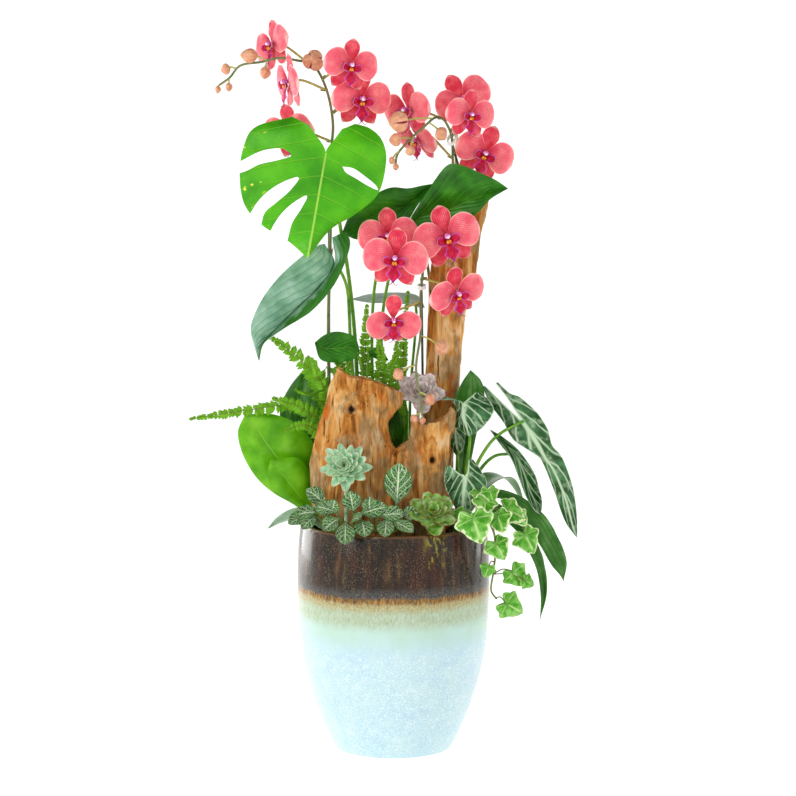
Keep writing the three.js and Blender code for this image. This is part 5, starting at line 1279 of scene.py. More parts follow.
add_petiole(monstera_stalk, [
    ROOTS["monstera"], [-50, 28, 534], [-60, 18, 630], [-68, 8, 676], [-78, -10, 735],
    [-83, -34, 766], [-86, -50, 770],
], (3.2, 2.2), 0)
monstera_stalk.make("monstera_stalk", "monstera_leaf", "monstera", [petiole])
print("monstera", len(leaf.data.polygons), "faces after its splits")

# %% [markdown]
# The other broad leaves come from several plants: a silver-backed philodendron, dark round leaves,
# and the strap leaves of the orchids themselves. One finish function serves them all, with its own
# tones, vein count and vein width for each plant.

# %% Silver, dark and pale leaves
# The silver leaf's shade colour is painted shade on one half of its blade.
silver_paint = leaf_finish(
    "silver_leaf", ("#6e9c80", "#8ab398", "#a5c6b2"), "#3f7048", pairs=8, slope=5, line=0.09, rib=0.05,
    strength=0.6, back="#a8c4b4", rough=0.4, relief=1.4, shade="#3c7a2a",
)
dark_paint = leaf_finish(
    "dark_leaf", ("#1f5f06", "#2e760a", "#48901e"), "#7cb350", pairs=7, slope=6, line=0.05, rib=0.04,
    strength=0.45, back="#6f9f70", rough=0.28, coat=0.12, relief=0.6,
)
bluish_paint = leaf_finish(
    "bluish_leaf", ("#9fbfb4", "#b5cfc6", "#c8dcd6"), "#8fb4a4", pairs=8, slope=5, line=0.05, rib=0.05,
    strength=0.4, back="#9dbfae", rough=0.45,
)
silver = Sculpt()
add_leaf(silver, [
    [-2, -95, 654, -88, 656, -78, 664, -60, 673], [-10, -118, 639, -75, 630, -75, 630, -55, 656],
    [-18, -144, 616, -96, 599, -64, 627], [-28, -163, 593, -121, 576, -79, 600],
    [-38, -175, 571, -144, 554, -105, 572], [-46, -181, 551, -161, 537, -138, 552],
    [-52, -177, 531, -171, 525, -163, 534], [-56, -170, 511],
], [6, -6], seed=1, arch=0.12)
add_petiole(silver, [
    ROOTS["silver"], [-52, 14, 470], [-56, 16, 540], [-60, 11, 600], [-70, 0, 624], [-77, -10, 630],
], (3, 2))
silver.make("silver_philodendron", "silver_leaf", "silver", [silver_paint, petiole])

broad_left = Sculpt()
add_leaf(broad_left, [
    [18, 60, 733], [20, 39, 730, 38, 721, 34, 708], [22, 19, 726, 18, 704, 22, 689],
    [23, -2, 727, -4, 697, 11, 671], [24, -20, 720, -25, 691, -7, 664],
    [26, -40, 706, -43, 681, -31, 664], [28, -56, 692, -56, 674, -47, 660], [30, -66, 668],
], [-4, -8], seed=2, arch=0.14)
add_petiole(broad_left, [
    ROOTS["broad_left"], [-28, 34, 518], [-22, 32, 612], [-8, 27, 650], [0, 22, 684],
], (2.6, 2))
broad_left.make("broad_leaf_dark_left", "broad_leaf_left", "dark_leaf", [dark_paint, petiole])

broad_right = Sculpt()
add_leaf(broad_right, [
    [8, 14, 675], [5, 39, 716, 42, 693, 50, 676], [2, 66, 754, 71, 699, 79, 678],
    [0, 84, 757, 90, 708, 98, 688], [-3, 108, 748, 110, 716, 111, 699],
    [-8, 130, 738, 127, 724, 124, 714], [-14, 146, 727],
], [-8, -8], seed=3, arch=0.12)
add_leaf(broad_right, [
    [14, 4, 440], [15, -6, 426, 3, 424, 12, 428], [17, -9, 408, 2, 404, 14, 410],
    [19, -4, 388, 2, 386, 9, 390], [22, 2, 372],
], [-2, -2], seed=4, steps=24, across=7)
add_petiole(broad_right, [
    ROOTS["broad_right"], [-12, 34, 490], [-16, 31, 535], [-8, 28, 600], [8, 14, 655], [26, 5, 684],
], (2.6, 2))
add_petiole(broad_right, [[4, 36, 280], [2, 28, 340], [2, 20, 385]], (2, 1.6), steps=30)
broad_right.make("broad_leaf_dark_right", "broad_leaf_right", "dark_leaf", [dark_paint, petiole])

round_leaves = Sculpt()
add_leaf(round_leaves, [
    [-6, -101, 529], [-2, -90, 538, -91, 522, -94, 508], [0, -76, 543, -76, 521, -76, 503],
    [1, -60, 541, -60, 522, -62, 504], [2, -48, 534, -48, 520, -50, 508], [3, -43, 514],
], [-3, -3], seed=5)
add_leaf(round_leaves, [
    [16, -34, 513], [17, -25, 521, -24, 513, -22, 506], [16, -15, 518, -15, 511, -15, 504],
    [15, -6, 504],
], [-2, -2], seed=6, steps=24, across=7)
add_petiole(round_leaves, [ROOTS["round"], [-34, 10, 440], [-42, 7, 500], [-47, 2, 516]], (2.2, 1.8))
add_petiole(round_leaves, [[-34, 10, 445], [-34, 14, 490], [-32, 16.5, 513]], (1.6, 1.5), steps=24)
round_leaves.make("round_leaf_dark", "round_leaf", "dark_leaf", [dark_paint, petiole])

pale_leaf = Sculpt()
add_leaf(pale_leaf, [
    [56, -55, 580], [58, -33, 585, -33, 581, -33, 577], [60, -4, 587, -4, 582, -4, 576],
    [62, 20, 586, 20, 581, 20, 574], [64, 34, 581, 34, 576, 34, 570], [68, 41, 568],
], [17, -15], seed=7)
add_petiole(pale_leaf, [ROOTS["pale"], [22, 72, 450], [30, 68, 560], [28, 62, 578]], (2.4, 1.8))
pale_leaf.make("pale_leaf_narrow", "pale_leaf", "pale_leaf", [bluish_paint, petiole])
print("silver leaf", made_triangles["silver_philodendron"], "triangles")

# %% [markdown]
# The orchids' own leaves are thick straps without side veins, folded along the middle. Those that
# show from the front are drawn by rows like the other leaves. The ones behind follow a line in
# space with a width at even steps, because nothing fixes their outline.

# %% Orchid leaves
strap_paint = leaf_finish(
    "orchid_leaf", ("#559c08", "#69b00e", "#82c22c"), "#a2d650", pairs=0, slope=0, line=0.01, rib=0.035,
    strength=0.5, back="#8fc05a", rough=0.28, coat=0.12, relief=0.5,
)
deep_paint = leaf_finish(
    "orchid_leaf_deep", ("#2f6a1c", "#4c8534", "#6d9f58"), "#9cc08a", pairs=0, slope=0, line=0.01, rib=0.04,
    strength=0.35, back="#5f9050", rough=0.3, coat=0.12, relief=0.5, stripes=14,
)


def add_crown(sculpt, root, top, paint=0):
    """A short upright post that a plant's leaves grow from."""
    x, y, radius = root
    post = smooth_path([[x, y, ROOT_Z], [x, y, (ROOT_Z + top) / 2], [x, y, top]], 12)
    sculpt.tube(post, np.linspace(radius, radius * 0.8, 12), 16, paint)


def add_strap(
    sculpt, path, widths, face, fold=0.18, thickness=1.0, paint=0, wave=0.6, steps=50, across=9,
):
    """A leaf along a rib path; widths are half widths at even steps and face is the side that it looks to."""
    line = smooth_path(path, steps)
    _, over, lift = rib_frame(line, face)
    s = np.linspace(0, 1, steps)
    half = np.maximum(spline(np.array(widths, float)[:, None], s * (len(widths) - 1))[:, 0], 0)
    half[-1] = min(half[-1], widths[-1])
    t = np.linspace(-1, 1, across)
    ripple = wave * np.sin(s * 17)[:, None] * t ** 2 * np.clip(half[:, None] / 12, 0, 1)
    rise = fold * np.abs(t) ** 1.4 * half[:, None] + ripple
    points = line[:, None] + over[:, None] * (half[:, None] * t)[..., None] + lift[:, None] * rise[..., None]
    marks = np.stack(np.broadcast_arrays(s[:, None], t), axis=-1)
    sculpt.blade([(points, marks)], thickness, paint)


straps_left = Sculpt()
add_leaf(straps_left, [
    [-6, -191, 436], [-2, -200, 415, -177, 418, -161, 436], [2, -197, 392, -163, 396, -135, 428],
    [6, -188, 370, -148, 375, -117, 414], [10, -174, 349, -133, 356, -104, 395],
    [14, -154, 331, -120, 336, -99, 371], [16, -125, 313, -110, 317, -97, 338],
    [12, -97, 286, -88, 286, -82, 292],
], [-4, 6], thickness=1.1, seed=8, wave=0.5, waves=2)
add_leaf(straps_left, [
    [-18, -158, 378], [-15, -162, 360, -149, 365, -140, 380], [-12, -158, 346, -140, 355, -124, 380],
    [-8, -148, 334, -131, 342, -113, 370], [-4, -135, 324, -122, 330, -108, 355],
    [0, -121, 316, -113, 320, -104, 335], [8, -97, 288, -90, 284, -84, 288],
], [-3, 5], thickness=1.1, seed=9, wave=0.5, waves=2)
add_leaf(straps_left, [
    [40, -117, 489], [39, -133, 470, -117, 467, -100, 480], [37, -145, 447, -122, 444, -95, 457],
    [34, -147, 425, -120, 420, -94, 430], [28, -136, 390, -112, 380, -94, 385],
    [20, -112, 330, -99, 325, -90, 330], [12, -94, 286, -88, 284, -84, 288],
], [-3, -1], thickness=1.1, seed=10, wave=0.5, waves=2, paint=1)
add_crown(straps_left, ROOTS["orchid_left"], 294)
straps_left.make("orchid_straps_left", "orchid_leaves_left", "orchid_leaf", [strap_paint, deep_paint])

straps_back = Sculpt()
for arch, widths, face in (
    ([[20, 118, 322], [38, 150, 340], [52, 186, 322]], [6, 23, 30, 23, 0], (0, -0.2, 1)),
    ([[-30, 112, 330], [-66, 130, 352], [-104, 144, 340]], [6, 21, 28, 20, 0], (0, -0.2, 1)),
    ([[2, 112, 360], [6, 126, 410], [14, 134, 452]], [6, 19, 25, 17, 0], (0, -1, 0.3)),
):
    add_strap(straps_back, [[2, 92, 282], *arch], widths, face, paint=1)
add_crown(straps_back, ROOTS["orchid_back"], 296)
straps_back.make("orchid_straps_back", "orchid_leaves_back", "orchid_leaf", [strap_paint, deep_paint])

straps_right = Sculpt()
add_leaf(straps_right, [
    [22, 100, 491], [24, 89, 475, 102, 473, 113, 478], [26, 81, 457, 101, 452, 118, 461],
    [28, 80, 434, 97, 429, 116, 436], [32, 82, 398, 93, 392, 107, 402],
    [38, 80, 330, 87, 326, 95, 330], [40, 81, 284, 86, 283, 91, 284],
], [-3, -3], thickness=1.0, seed=11, wave=0.5, waves=2, paint=1)
add_leaf(straps_right, [
    [41, 84, 284, 87, 288, 91, 292], [26, 112, 320, 117, 325, 124, 332],
    [10, 148, 322, 152, 324, 160, 330], [0, 162, 300, 176, 308, 191, 309],
    [-4, 178, 283, 190, 293, 204, 293], [-8, 190, 266, 200, 275, 212, 278],
    [-12, 204, 242, 212, 253, 220, 261], [-15, 215, 229, 219, 238, 224, 243], [-18, 220, 221],
], [-2, -2], thickness=1.0, seed=12, wave=0.4, waves=2, flip=True, paint=1)
add_leaf(straps_right, [
    [46, 90, 286, 93, 290, 96, 294], [34, 122, 306, 126, 311, 131, 316],
    [26, 160, 280, 166, 284, 173, 288], [20, 178, 250, 184, 253, 192, 254],
    [16, 186, 232, 191, 235, 197, 236], [12, 190, 214, 195, 215, 200, 217],
    [8, 192, 192, 196, 193, 199, 195], [6, 191, 166],
], [-2, -2], thickness=1.0, seed=13, wave=0.3, waves=2, flip=True, paint=1)
add_strap(
    straps_right, [[86, 42, 282], [112, 66, 330], [146, 92, 340], [176, 112, 300]], [5, 18, 22, 15, 0],
    (-0.2, -0.2, 1), paint=1,
)
add_crown(straps_right, ROOTS["orchid_right"], 303)
straps_right.make("orchid_straps_right", "orchid_leaves_right", "orchid_leaf", [strap_paint, deep_paint])
print("orchid leaves", made_triangles["orchid_straps_left"], "triangles on the left")

# %% [markdown]
# A fern frond is a thin rib with a row of leaflets on each side, longest in the middle. Each
# leaflet here is a small folded blade with a toothed margin, and all of them hang a little. The
# solid has fewer fronds, each with a zigzag margin. A few more are added here to fill the tufts,
# and the longest leaflets reach a little past that margin.

# %% Fern
fern_paint = leaf_finish(
    "fern", ("#4c9206", "#6cb412", "#8fd030"), "#b2de66", pairs=5, slope=6, line=0.08, rib=0.12, strength=0.4,
    back="#7cbc2c", rough=0.5, relief=0.3, soft=0.15,
)
rib_paint = leaf_finish("fern_rib", ("#7d8f3a", "#93a548", "#5f5a2c"), "#93a548", rib=0.01, strength=0.1)
VIEWER = [0, -1, 0.25]
UPWARD = [0, -0.5, 0.9]
FRONDS = {
    "left": [
        (9, 11, [0, -0.8, 0.6],
         [[-70, 22, 350], [-88, 12, 420], [-122, 4, 446], [-191, -4, 441], [-264, -10, 431]]),
        (13, 8, VIEWER, [[-62, 22, 380], [-84, 6, 462], [-120, -6, 508], [-160, -16, 539]]),
        (11, 7, VIEWER, [[-72, 12, 350], [-92, 0, 422], [-122, -10, 447], [-156, -22, 460]]),
        (13, 6, VIEWER, [[-60, 34, 370], [-84, 30, 440], [-102, 26, 472], [-116, 20, 500]]),
        (11, 9, VIEWER, [[-66, 16, 350], [-78, 2, 430], [-92, -8, 476], [-106, -14, 512]]),
        (10, 9, VIEWER, [[-68, 8, 350], [-86, -6, 400], [-112, -18, 424], [-140, -26, 418]]),
        (10, 9, UPWARD, [[-64, 20, 360], [-80, 4, 440], [-98, -4, 458], [-128, -12, 470]]),
    ],
    "middle": [
        (9, 9, VIEWER, [[-30, 56, 360], [-34, 40, 440], [-36, 22, 500], [-36, 12, 545], [-34, 6, 578]]),
        (11, 7, VIEWER, [[-42, 62, 350], [-56, 58, 430], [-66, 52, 480], [-76, 44, 526]]),
        (13, 7, UPWARD, [[-32, 66, 350], [-44, 80, 420], [-62, 100, 470], [-90, 114, 486]]),
        (10, 9, VIEWER, [[-28, 50, 360], [-22, 30, 440], [-16, 14, 500], [-20, 2, 540]]),
        (11, 9, VIEWER, [[-32, 50, 360], [-42, 34, 430], [-56, 16, 480], [-58, 6, 506]]),
    ],
    "right": [
        (9, 7, VIEWER, [[8, 52, 360], [6, 26, 440], [2, 14, 490], [5, 8, 532]]),
        (6, 7, VIEWER, [[10, 60, 370], [12, 58, 480], [15, 44, 550], [19, 28, 594]]),
        (8, 9, VIEWER, [[4, 52, 360], [-2, 30, 440], [-6, 14, 490], [10, 6, 520]]),
    ],
}
BARE_SHARE = 0.36
LEAFLET_GAP = 4.6
LEAFLET_REACH = 1.3


def add_leaflet(sculpt, root, way, over, normal, length, half, seed):
    s, t = np.meshgrid(np.linspace(0, 1, 9), np.linspace(-1, 1, 5), indexing="ij")
    body = np.sin(np.pi * np.clip(s * 0.86 + 0.12, 0, 1)) ** 0.7 * (1 - s ** 5)
    tooth = 1 + 0.16 * np.where(np.arange(9) % 2, 1, -1)[:, None]
    out = s * length
    wide = half * body * tooth * t
    drop = -0.16 * length * s ** 2 - 0.22 * half * np.abs(t) + 0.15 * half * np.sin(seed + 5 * s)
    points = root + way * out[..., None] + over * wide[..., None] + normal * drop[..., None]
    sculpt.blade([(points, np.stack([s, t], -1))], 0.3, 0)


def add_frond(sculpt, top, seed, half_width, pairs, face, path):
    line = smooth_path([top, *path], 160)
    ways, over, normal = rib_frame(line, face)
    sculpt.tube(line, np.linspace(1.1, 0.3, 160), 7, 1)
    run = np.linalg.norm(np.diff(line, axis=0), axis=1).sum() * (1 - BARE_SHARE)
    count = max(int(run / LEAFLET_GAP), pairs)
    random = np.random.default_rng(seed)
    for i in range(count):
        share = i / count
        k = min(int((BARE_SHARE + (1 - BARE_SHARE) * (share + 0.3 / count)) * 159), 158)
        reach = max(np.sin(np.pi * (0.2 + 0.75 * share)) * half_width * LEAFLET_REACH, 3)
        for side in (-1, 1):
            lean = 0.4 + 0.16 * random.standard_normal()
            way = over[k] * side * np.cos(lean) + ways[k] * np.sin(lean)
            way = way + normal[k] * 0.25 * random.standard_normal()
            way /= np.linalg.norm(way)
            across = np.cross(normal[k], way)
            length = reach * random.uniform(0.85, 1.1)
            add_leaflet(sculpt, line[k], way, across, normal[k], length, 2.9, i + side)


for side in FRONDS:
    fern = Sculpt()
    root = ROOTS["fern_" + side]
    for n, frond in enumerate(FRONDS[side]):
        add_frond(fern, [*root[:2], 292], n + len(side) * 7, *frond)
    add_crown(fern, root, 298, 1)
    fern.make("fern_tuft_" + side, "fern_" + side, "fern", [fern_paint, rib_paint])
print("fern tufts", [made_triangles["fern_tuft_" + side] for side in FRONDS])

# %% [markdown]
# The three rosettes are echeverias. Their fleshy leaves follow the golden angle, so that no leaf
# sits right above another. Outer leaves are long and flat, and inner ones are short and upright. A
# leaf is a closed body here and not a sheet: flat on top, round below, widest near the end, and it
# stops in a small sharp tip.

# %% Echeverias
GOLDEN_ANGLE = np.pi * (3 - np.sqrt(5))
ROSETTES = {
    "blue": {
        "root": ROOTS["blue_rosette"], "route": [[-60, -63, 340]],
        "at": [-61, -68, 377], "looks": [-0.12, -0.92, 0.38],
        "radius": 35,
    },
    "green": {
        "root": ROOTS["green_rosette"], "route": [[47, -86, 300]],
        "at": [50, -96, 322], "looks": [0.05, -0.72, 0.69],
        "radius": 35,
    },
    "purple": {
        "root": ROOTS["purple_rosette"], "route": [[30, 12, 400], [33, -4, 450]], "at": [34, -22, 468],
        "looks": [0.1, -0.8, 0.6], "radius": 34,
    },
}


def rosette_finish(name, tones, rim, tip, bloom):
    p = Paint(name)
    tone = p.ramp(p.noise(11, 3), *zip((0.35, 0.5, 0.65), tones))
    # Painted shade: each leaf darkens towards its base, in the heart of the rosette.
    tone = p.mix(p.step(p.along, 0.5, 0.05, 0, 0.6), tone, tones[0])
    dusted = p.times(p.step(p.noise(5, 4), 0.42, 0.62), p.step(p.off, 0.2, 0.9, 0.2, 0.75))
    tone = p.mix(dusted, tone, bloom)
    margin = p.times(p.step(p.off, 0.84, 0.97), p.step(p.along, 0.35, 0.7))
    tone = p.mix(p.times(margin, 0.85), tone, rim)
    tone = p.mix(p.step(p.along, 0.9, 0.97), tone, tip)
    # Painted shade: the underside of each leaf is darker.
    tone = p.mix(p.times(p.back, 0.4), tone, tones[0])
    grain = p.noise(1.6, 3)
    return p.finish(tone, rough=0.42, bump=grain, relief=0.25, soft=0.25, reach=3.0, coat_weight=0.08)


rosette_paints = {
    "blue": rosette_finish(
        "blue_rosette", ("#8cbd94", "#b0d6b0", "#cfe9c6"), "#e6f2d4", "#c98f86", "#e0f3da"),
    "green": rosette_finish(
        "green_rosette", ("#5b8f1e", "#82b348", "#acd088"), "#b04a34", "#9c2c1c", "#cfe6bc"),
    "purple": rosette_finish(
        "purple_rosette", ("#a8a098", "#cdc3bd", "#e0d8d4"), "#b98a92", "#8e4a58", "#eee8e5"),
}
STYLES = {
    "blue": dict(leaves=48, long=1.02, tip=0.28, thick=0.1, end=3.2, open=(0, 74)),
    "green": dict(leaves=24, long=1.1, tip=0.66, thick=0.085, end=3.4, open=(-10, 60)),
    "purple": dict(leaves=22, long=1.04, tip=0.66, thick=0.085, end=3.6, open=(-8, 60)),
}


def fleshy_leaf(length, half, deep, end):
    """A spoon-shaped leaf along the first axis, as rings of points."""
    s = np.concatenate([np.linspace(0, 0.9, 15), [0.94, 0.97, 0.99, 1.0]])[:, None]
    turns = np.arange(18) / 18 * 2 * np.pi
    wide = 0.42 + 0.58 * np.sin(np.pi / 2 * np.clip(s / 0.62, 0, 1)) ** 1.3
    wide = wide * np.clip(1 - s ** end, 0, 1) ** 0.85
    wide[-2], wide[-1] = 0.05, 0
    body = np.sin(np.pi * np.clip(0.12 + 0.8 * s, 0, 1)) ** 0.6 * np.clip(1 - s ** 8, 0, 1) ** 0.5
    body[-2], body[-1] = 0.12, 0
    lift = length * (0.02 * s + 0.14 * s ** 4)
    up = np.sin(turns)
    hollow = -0.35 * deep * body * (1 - np.cos(turns) ** 2) * (up > 0)
    x = np.broadcast_to(length * s, (len(s), 18))
    y = half * wide * np.cos(turns)
    z = lift + deep * body * np.where(up > 0, 0.45 * up, up) + hollow
    z = z + 0.16 * half * wide * np.cos(turns) ** 2
    marks = np.stack(np.broadcast_arrays(s, np.cos(turns), np.where(up < -0.1, 1.0, 0.0)), axis=-1)
    return np.stack([x, y, z], axis=-1), marks


for tone, spec in ROSETTES.items():
    rosette = Sculpt()
    style = STYLES[tone]
    place = place_of(spec["at"], spec["looks"])
    random = np.random.default_rng(len(tone))
    root = spec["root"]
    rosette.tube(smooth_path(rooted([root, *spec["route"], spec["at"]]), 40), root[2] - 0.6, 14)
    for i in range(style["leaves"]):
        share = i / (style["leaves"] - 1)
        length = spec["radius"] * style["long"] * (1 - 0.72 * share ** 1.1) * random.uniform(0.95, 1.03)
        flat, upright = style["open"]
        rise = np.radians(flat + (upright - flat) * share + random.uniform(-3, 3))
        half = spec["radius"] * (style["tip"] * 0.42 + 0.13) * (1 - 0.55 * share)
        deep = spec["radius"] * style["thick"] * (1 - 0.4 * share)
        points, marks = fleshy_leaf(length, half, deep, style["end"])
        c, s = np.cos(rise), np.sin(rise)
        points = points @ np.array([[c, 0, s], [0, 1, 0], [-s, 0, c]]) + (1.5 * share, 0, -5 + 9 * share)
        c, s = np.cos(i * GOLDEN_ANGLE), np.sin(i * GOLDEN_ANGLE)
        points = points @ np.array([[c, s, 0], [-s, c, 0], [0, 0, 1]])
        rosette.add(put(points, place), grid_faces(*points.shape[:2], closed=True), marks)
    rosette.make("rosette_" + tone, "echeveria_" + tone, tone + "_rosette", [rosette_paints[tone]])
print("rosettes", [made_triangles["rosette_" + tone] for tone in ROSETTES])

# %% [markdown]
# Fittonia is the low carpet at the rim, with a net of white veins on each small oval leaf. The net
# is a cell pattern that shows only its borders, with a rib and side veins over it. The leaf is
# dimpled between the veins because the same pattern also drives the bump.

# %% Fittonia
p = fittonia_paint = Paint("fittonia")
tone = p.ramp(p.noise(8, 3), (0.35, "#24581c"), (0.5, "#3c7530"), (0.65, "#56903f"))
net = p.step(p.cells(3.0, "DISTANCE_TO_EDGE"), 0.075, 0.02, 0, 0.8)
phase = p.times_plus(p.off, -2.0, p.times(p.along, 6.0))
gap = p.beat(phase)
side_vein = p.step(gap, 0.1, 0.03)
rib = p.step(p.off, 0.09, 0.04)
veins = p.most(p.most(net, side_vein), rib)
veins = p.times(veins, p.step(p.off, 1.0, 0.9))
tone = p.mix(p.times(veins, 0.9), tone, "#dcebcb")
tone = p.mix(p.back, tone, "#8fae7c")
p.finish(tone, rough=0.45, bump=p.times(veins, -1.0), relief=0.5, soft=0.12, reach=1.2)
plain_green = leaf_finish(
    "fittonia_plain", ("#7f9f7c", "#93b293", "#a9c5a9"), "#c3d8bd", pairs=7, slope=5, strength=0.4,
    back="#8fae8f",
)
creeper = leaf_finish("creeper", ("#6b7f3a", "#84944d", "#8f7f55"), "#84944d", rib=0.01, strength=0.1)
FITTONIA_LEAVES = [
    [[-86, -72, 318], [-122, -62, 314], 9, [0, -0.6, 0.8]],
    [[-84, -66, 324], [-106, -62, 343], 8, [0.3, -0.9, 0.3]],
    [[-70, -84, 318], [-94, -80, 326], 8, [0, -0.8, 0.6]],
    [[-50, -84, 318], [-54, -90, 344], 9, [0, -1, 0.2]],
    [[-46, -92, 316], [-14, -92, 327], 9, [0, -0.8, 0.6]],
    [[4, -80, 322], [7, -74, 372], 13, [0, -1, 0.1]],
    [[-60, -100, 312], [-60, -132, 293], 9, [0, -0.7, 0.7]],
    [[-22, -98, 316], [8, -98, 320], 8, [0, -0.8, 0.6]],
    [[-4, -100, 312], [20, -120, 304], 7, [0, -0.6, 0.8]],
    [[-66, -92, 314], [-84, -104, 304], 8, [0, -0.8, 0.6]],
    [[-40, -96, 314], [-36, -122, 300], 9, [0, -0.7, 0.7]],
    [[-78, -78, 316], [-74, -88, 334], 7, [-0.2, -1, 0.3]],
    [[-96, -66, 314], [-112, -80, 302], 7, [0, -0.7, 0.7]],
    [[-30, -90, 316], [-30, -92, 338], 7, [0.1, -1, 0.3]],
    [[-8, -96, 316], [-10, -122, 300], 8, [0, -0.7, 0.7]],
    [[-90, -70, 316], [-96, -76, 330], 7, [0.1, -1, 0.2]],
    [[10, -92, 314], [28, -98, 322], 7, [0.2, -0.9, 0.4]],
    [[-52, -98, 312], [-44, -112, 316], 7, [0, -0.8, 0.6]],
    [[-104, -58, 312], [-128, -72, 306], 7, [0, -0.7, 0.7]],
]
OVAL = [
    [0, 0.9], [0.16, 1.0], [0.24, 3.2], [0.36, 7.2], [0.52, 9.6], [0.68, 9.7], [0.82, 7.4],
    [0.92, 4.2], [0.985, 1.2], [1, 0],
]
OVAL_HALF = 9.7
LEAF_GROWTH = 1.38
TIP_GROWTH = 0.22


def add_oval_leaf(sculpt, base, tip, half, face, start):
    """A small stalked leaf that bends over from its base and dips at its tip."""
    base, tip, start = (np.array(q, float) for q in (base, tip, start))
    middle = (base + tip) / 2 + (0, 0, 2.5)
    line = smooth_path([start, base, middle, tip], 60)
    line = line[int(np.argmin(np.linalg.norm(line - base, axis=1))):]
    keys = np.linspace(0, 1, 26)
    line = np.stack([np.interp(keys, np.linspace(0, 1, len(line)), line[:, k]) for k in range(3)], axis=1)
    way, over, lift = rib_frame(line, face)
    table = np.array(OVAL)
    wide = np.interp(keys, table[:, 0], table[:, 1]) / OVAL_HALF * half
    t = np.linspace(-1, 1, 11)
    rise = 0.16 * np.abs(t) * wide[:, None] - 0.5 * np.exp(-(t / 0.15) ** 2) * np.sin(np.pi * keys)[:, None]
    rise = rise + 0.35 * np.sin(keys * 26)[:, None] * t ** 2
    points = line[:, None] + over[:, None] * (wide[:, None] * t)[..., None] + lift[:, None] * rise[..., None]
    sculpt.blade([(points, np.stack(np.broadcast_arrays(keys[:, None], t), axis=-1))], 0.6)
    sculpt.tube(smooth_path([start, (start + base) / 2 + (0, 0, 1), base + way[1]], 10), 1.0, 7, 2)


x, y, _ = ROOTS["fittonia"]
fittonia = Sculpt()
runner = smooth_path([
    [x - 30, y + 22, 292], [x - 8, y + 4, 296], [x + 28, y - 4, 298], [x + 56, y - 2, 298],
], 60)
fittonia.tube(runner, 1.8, 10, 2)
add_crown(fittonia, ROOTS["fittonia"], 298, 2)
for base, tip, half, face in FITTONIA_LEAVES:
    base, tip = np.array(base, float), np.array(tip, float)
    tip = tip + (tip - base) * TIP_GROWTH
    add_oval_leaf(fittonia, base, tip, half * LEAF_GROWTH, face, nearest(runner, base))
add_strap(
    fittonia, [runner[0], [-104, -54, 308], [-124, -42, 313], [-146, -30, 303], [-162, -22, 290]],
    [2, 4, 7, 9, 8, 5, 0], (0, -0.7, 0.7), fold=0.1, thickness=0.7, paint=1,
)
fittonia.make("fittonia_carpet", "fittonia", "fittonia", [fittonia_paint, plain_green, creeper])
print("fittonia", made_triangles["fittonia_carpet"], "triangles")

# %% [markdown]
# Alocasia has dark arrow-shaped leaves with broad pale veins and scalloped margins. The rows give
# the outline as before. The scallops are a wave that bends the margin forwards and back.

# %% Alocasia
p = alocasia_paint = Paint("alocasia")
tone = p.ramp(p.noise(18, 4), (0.32, "#1b4a17"), (0.5, "#2f6430"), (0.66, "#55885a"))
phase = p.times_plus(p.off, -1.7, p.times(p.along, 6.0))
phase = p.times_plus(p.noise(18, 1), 0.5, phase)
gap = p.beat(phase)
width = p.times_plus(p.off, -0.1, 0.2)
side_vein = p.line(gap, width)
rib = p.step(p.off, 0.2, 0.06)
fine = p.step(p.noise(12, 4), 0.5, 0.7, 0, 0.5)
veins = p.most(p.most(p.math("POWER", side_vein, 0.7), rib), fine)
tone = p.mix(p.times(veins, 0.85), tone, "#cfe6c4")
tone = p.mix(p.step(p.off, 0.95, 0.99, 0, 0.8), tone, "#dcecd0")
tone = p.mix(p.back, tone, p.mix(p.times(veins, 0.5), "#6f9a74", "#bcd2b4"))
p.finish(
    tone, rough=0.3, bump=p.times(veins, -1.0), relief=0.8, soft=0.1, reach=1.5, coat_weight=0.25,
    coat_roughness=0.15,
)
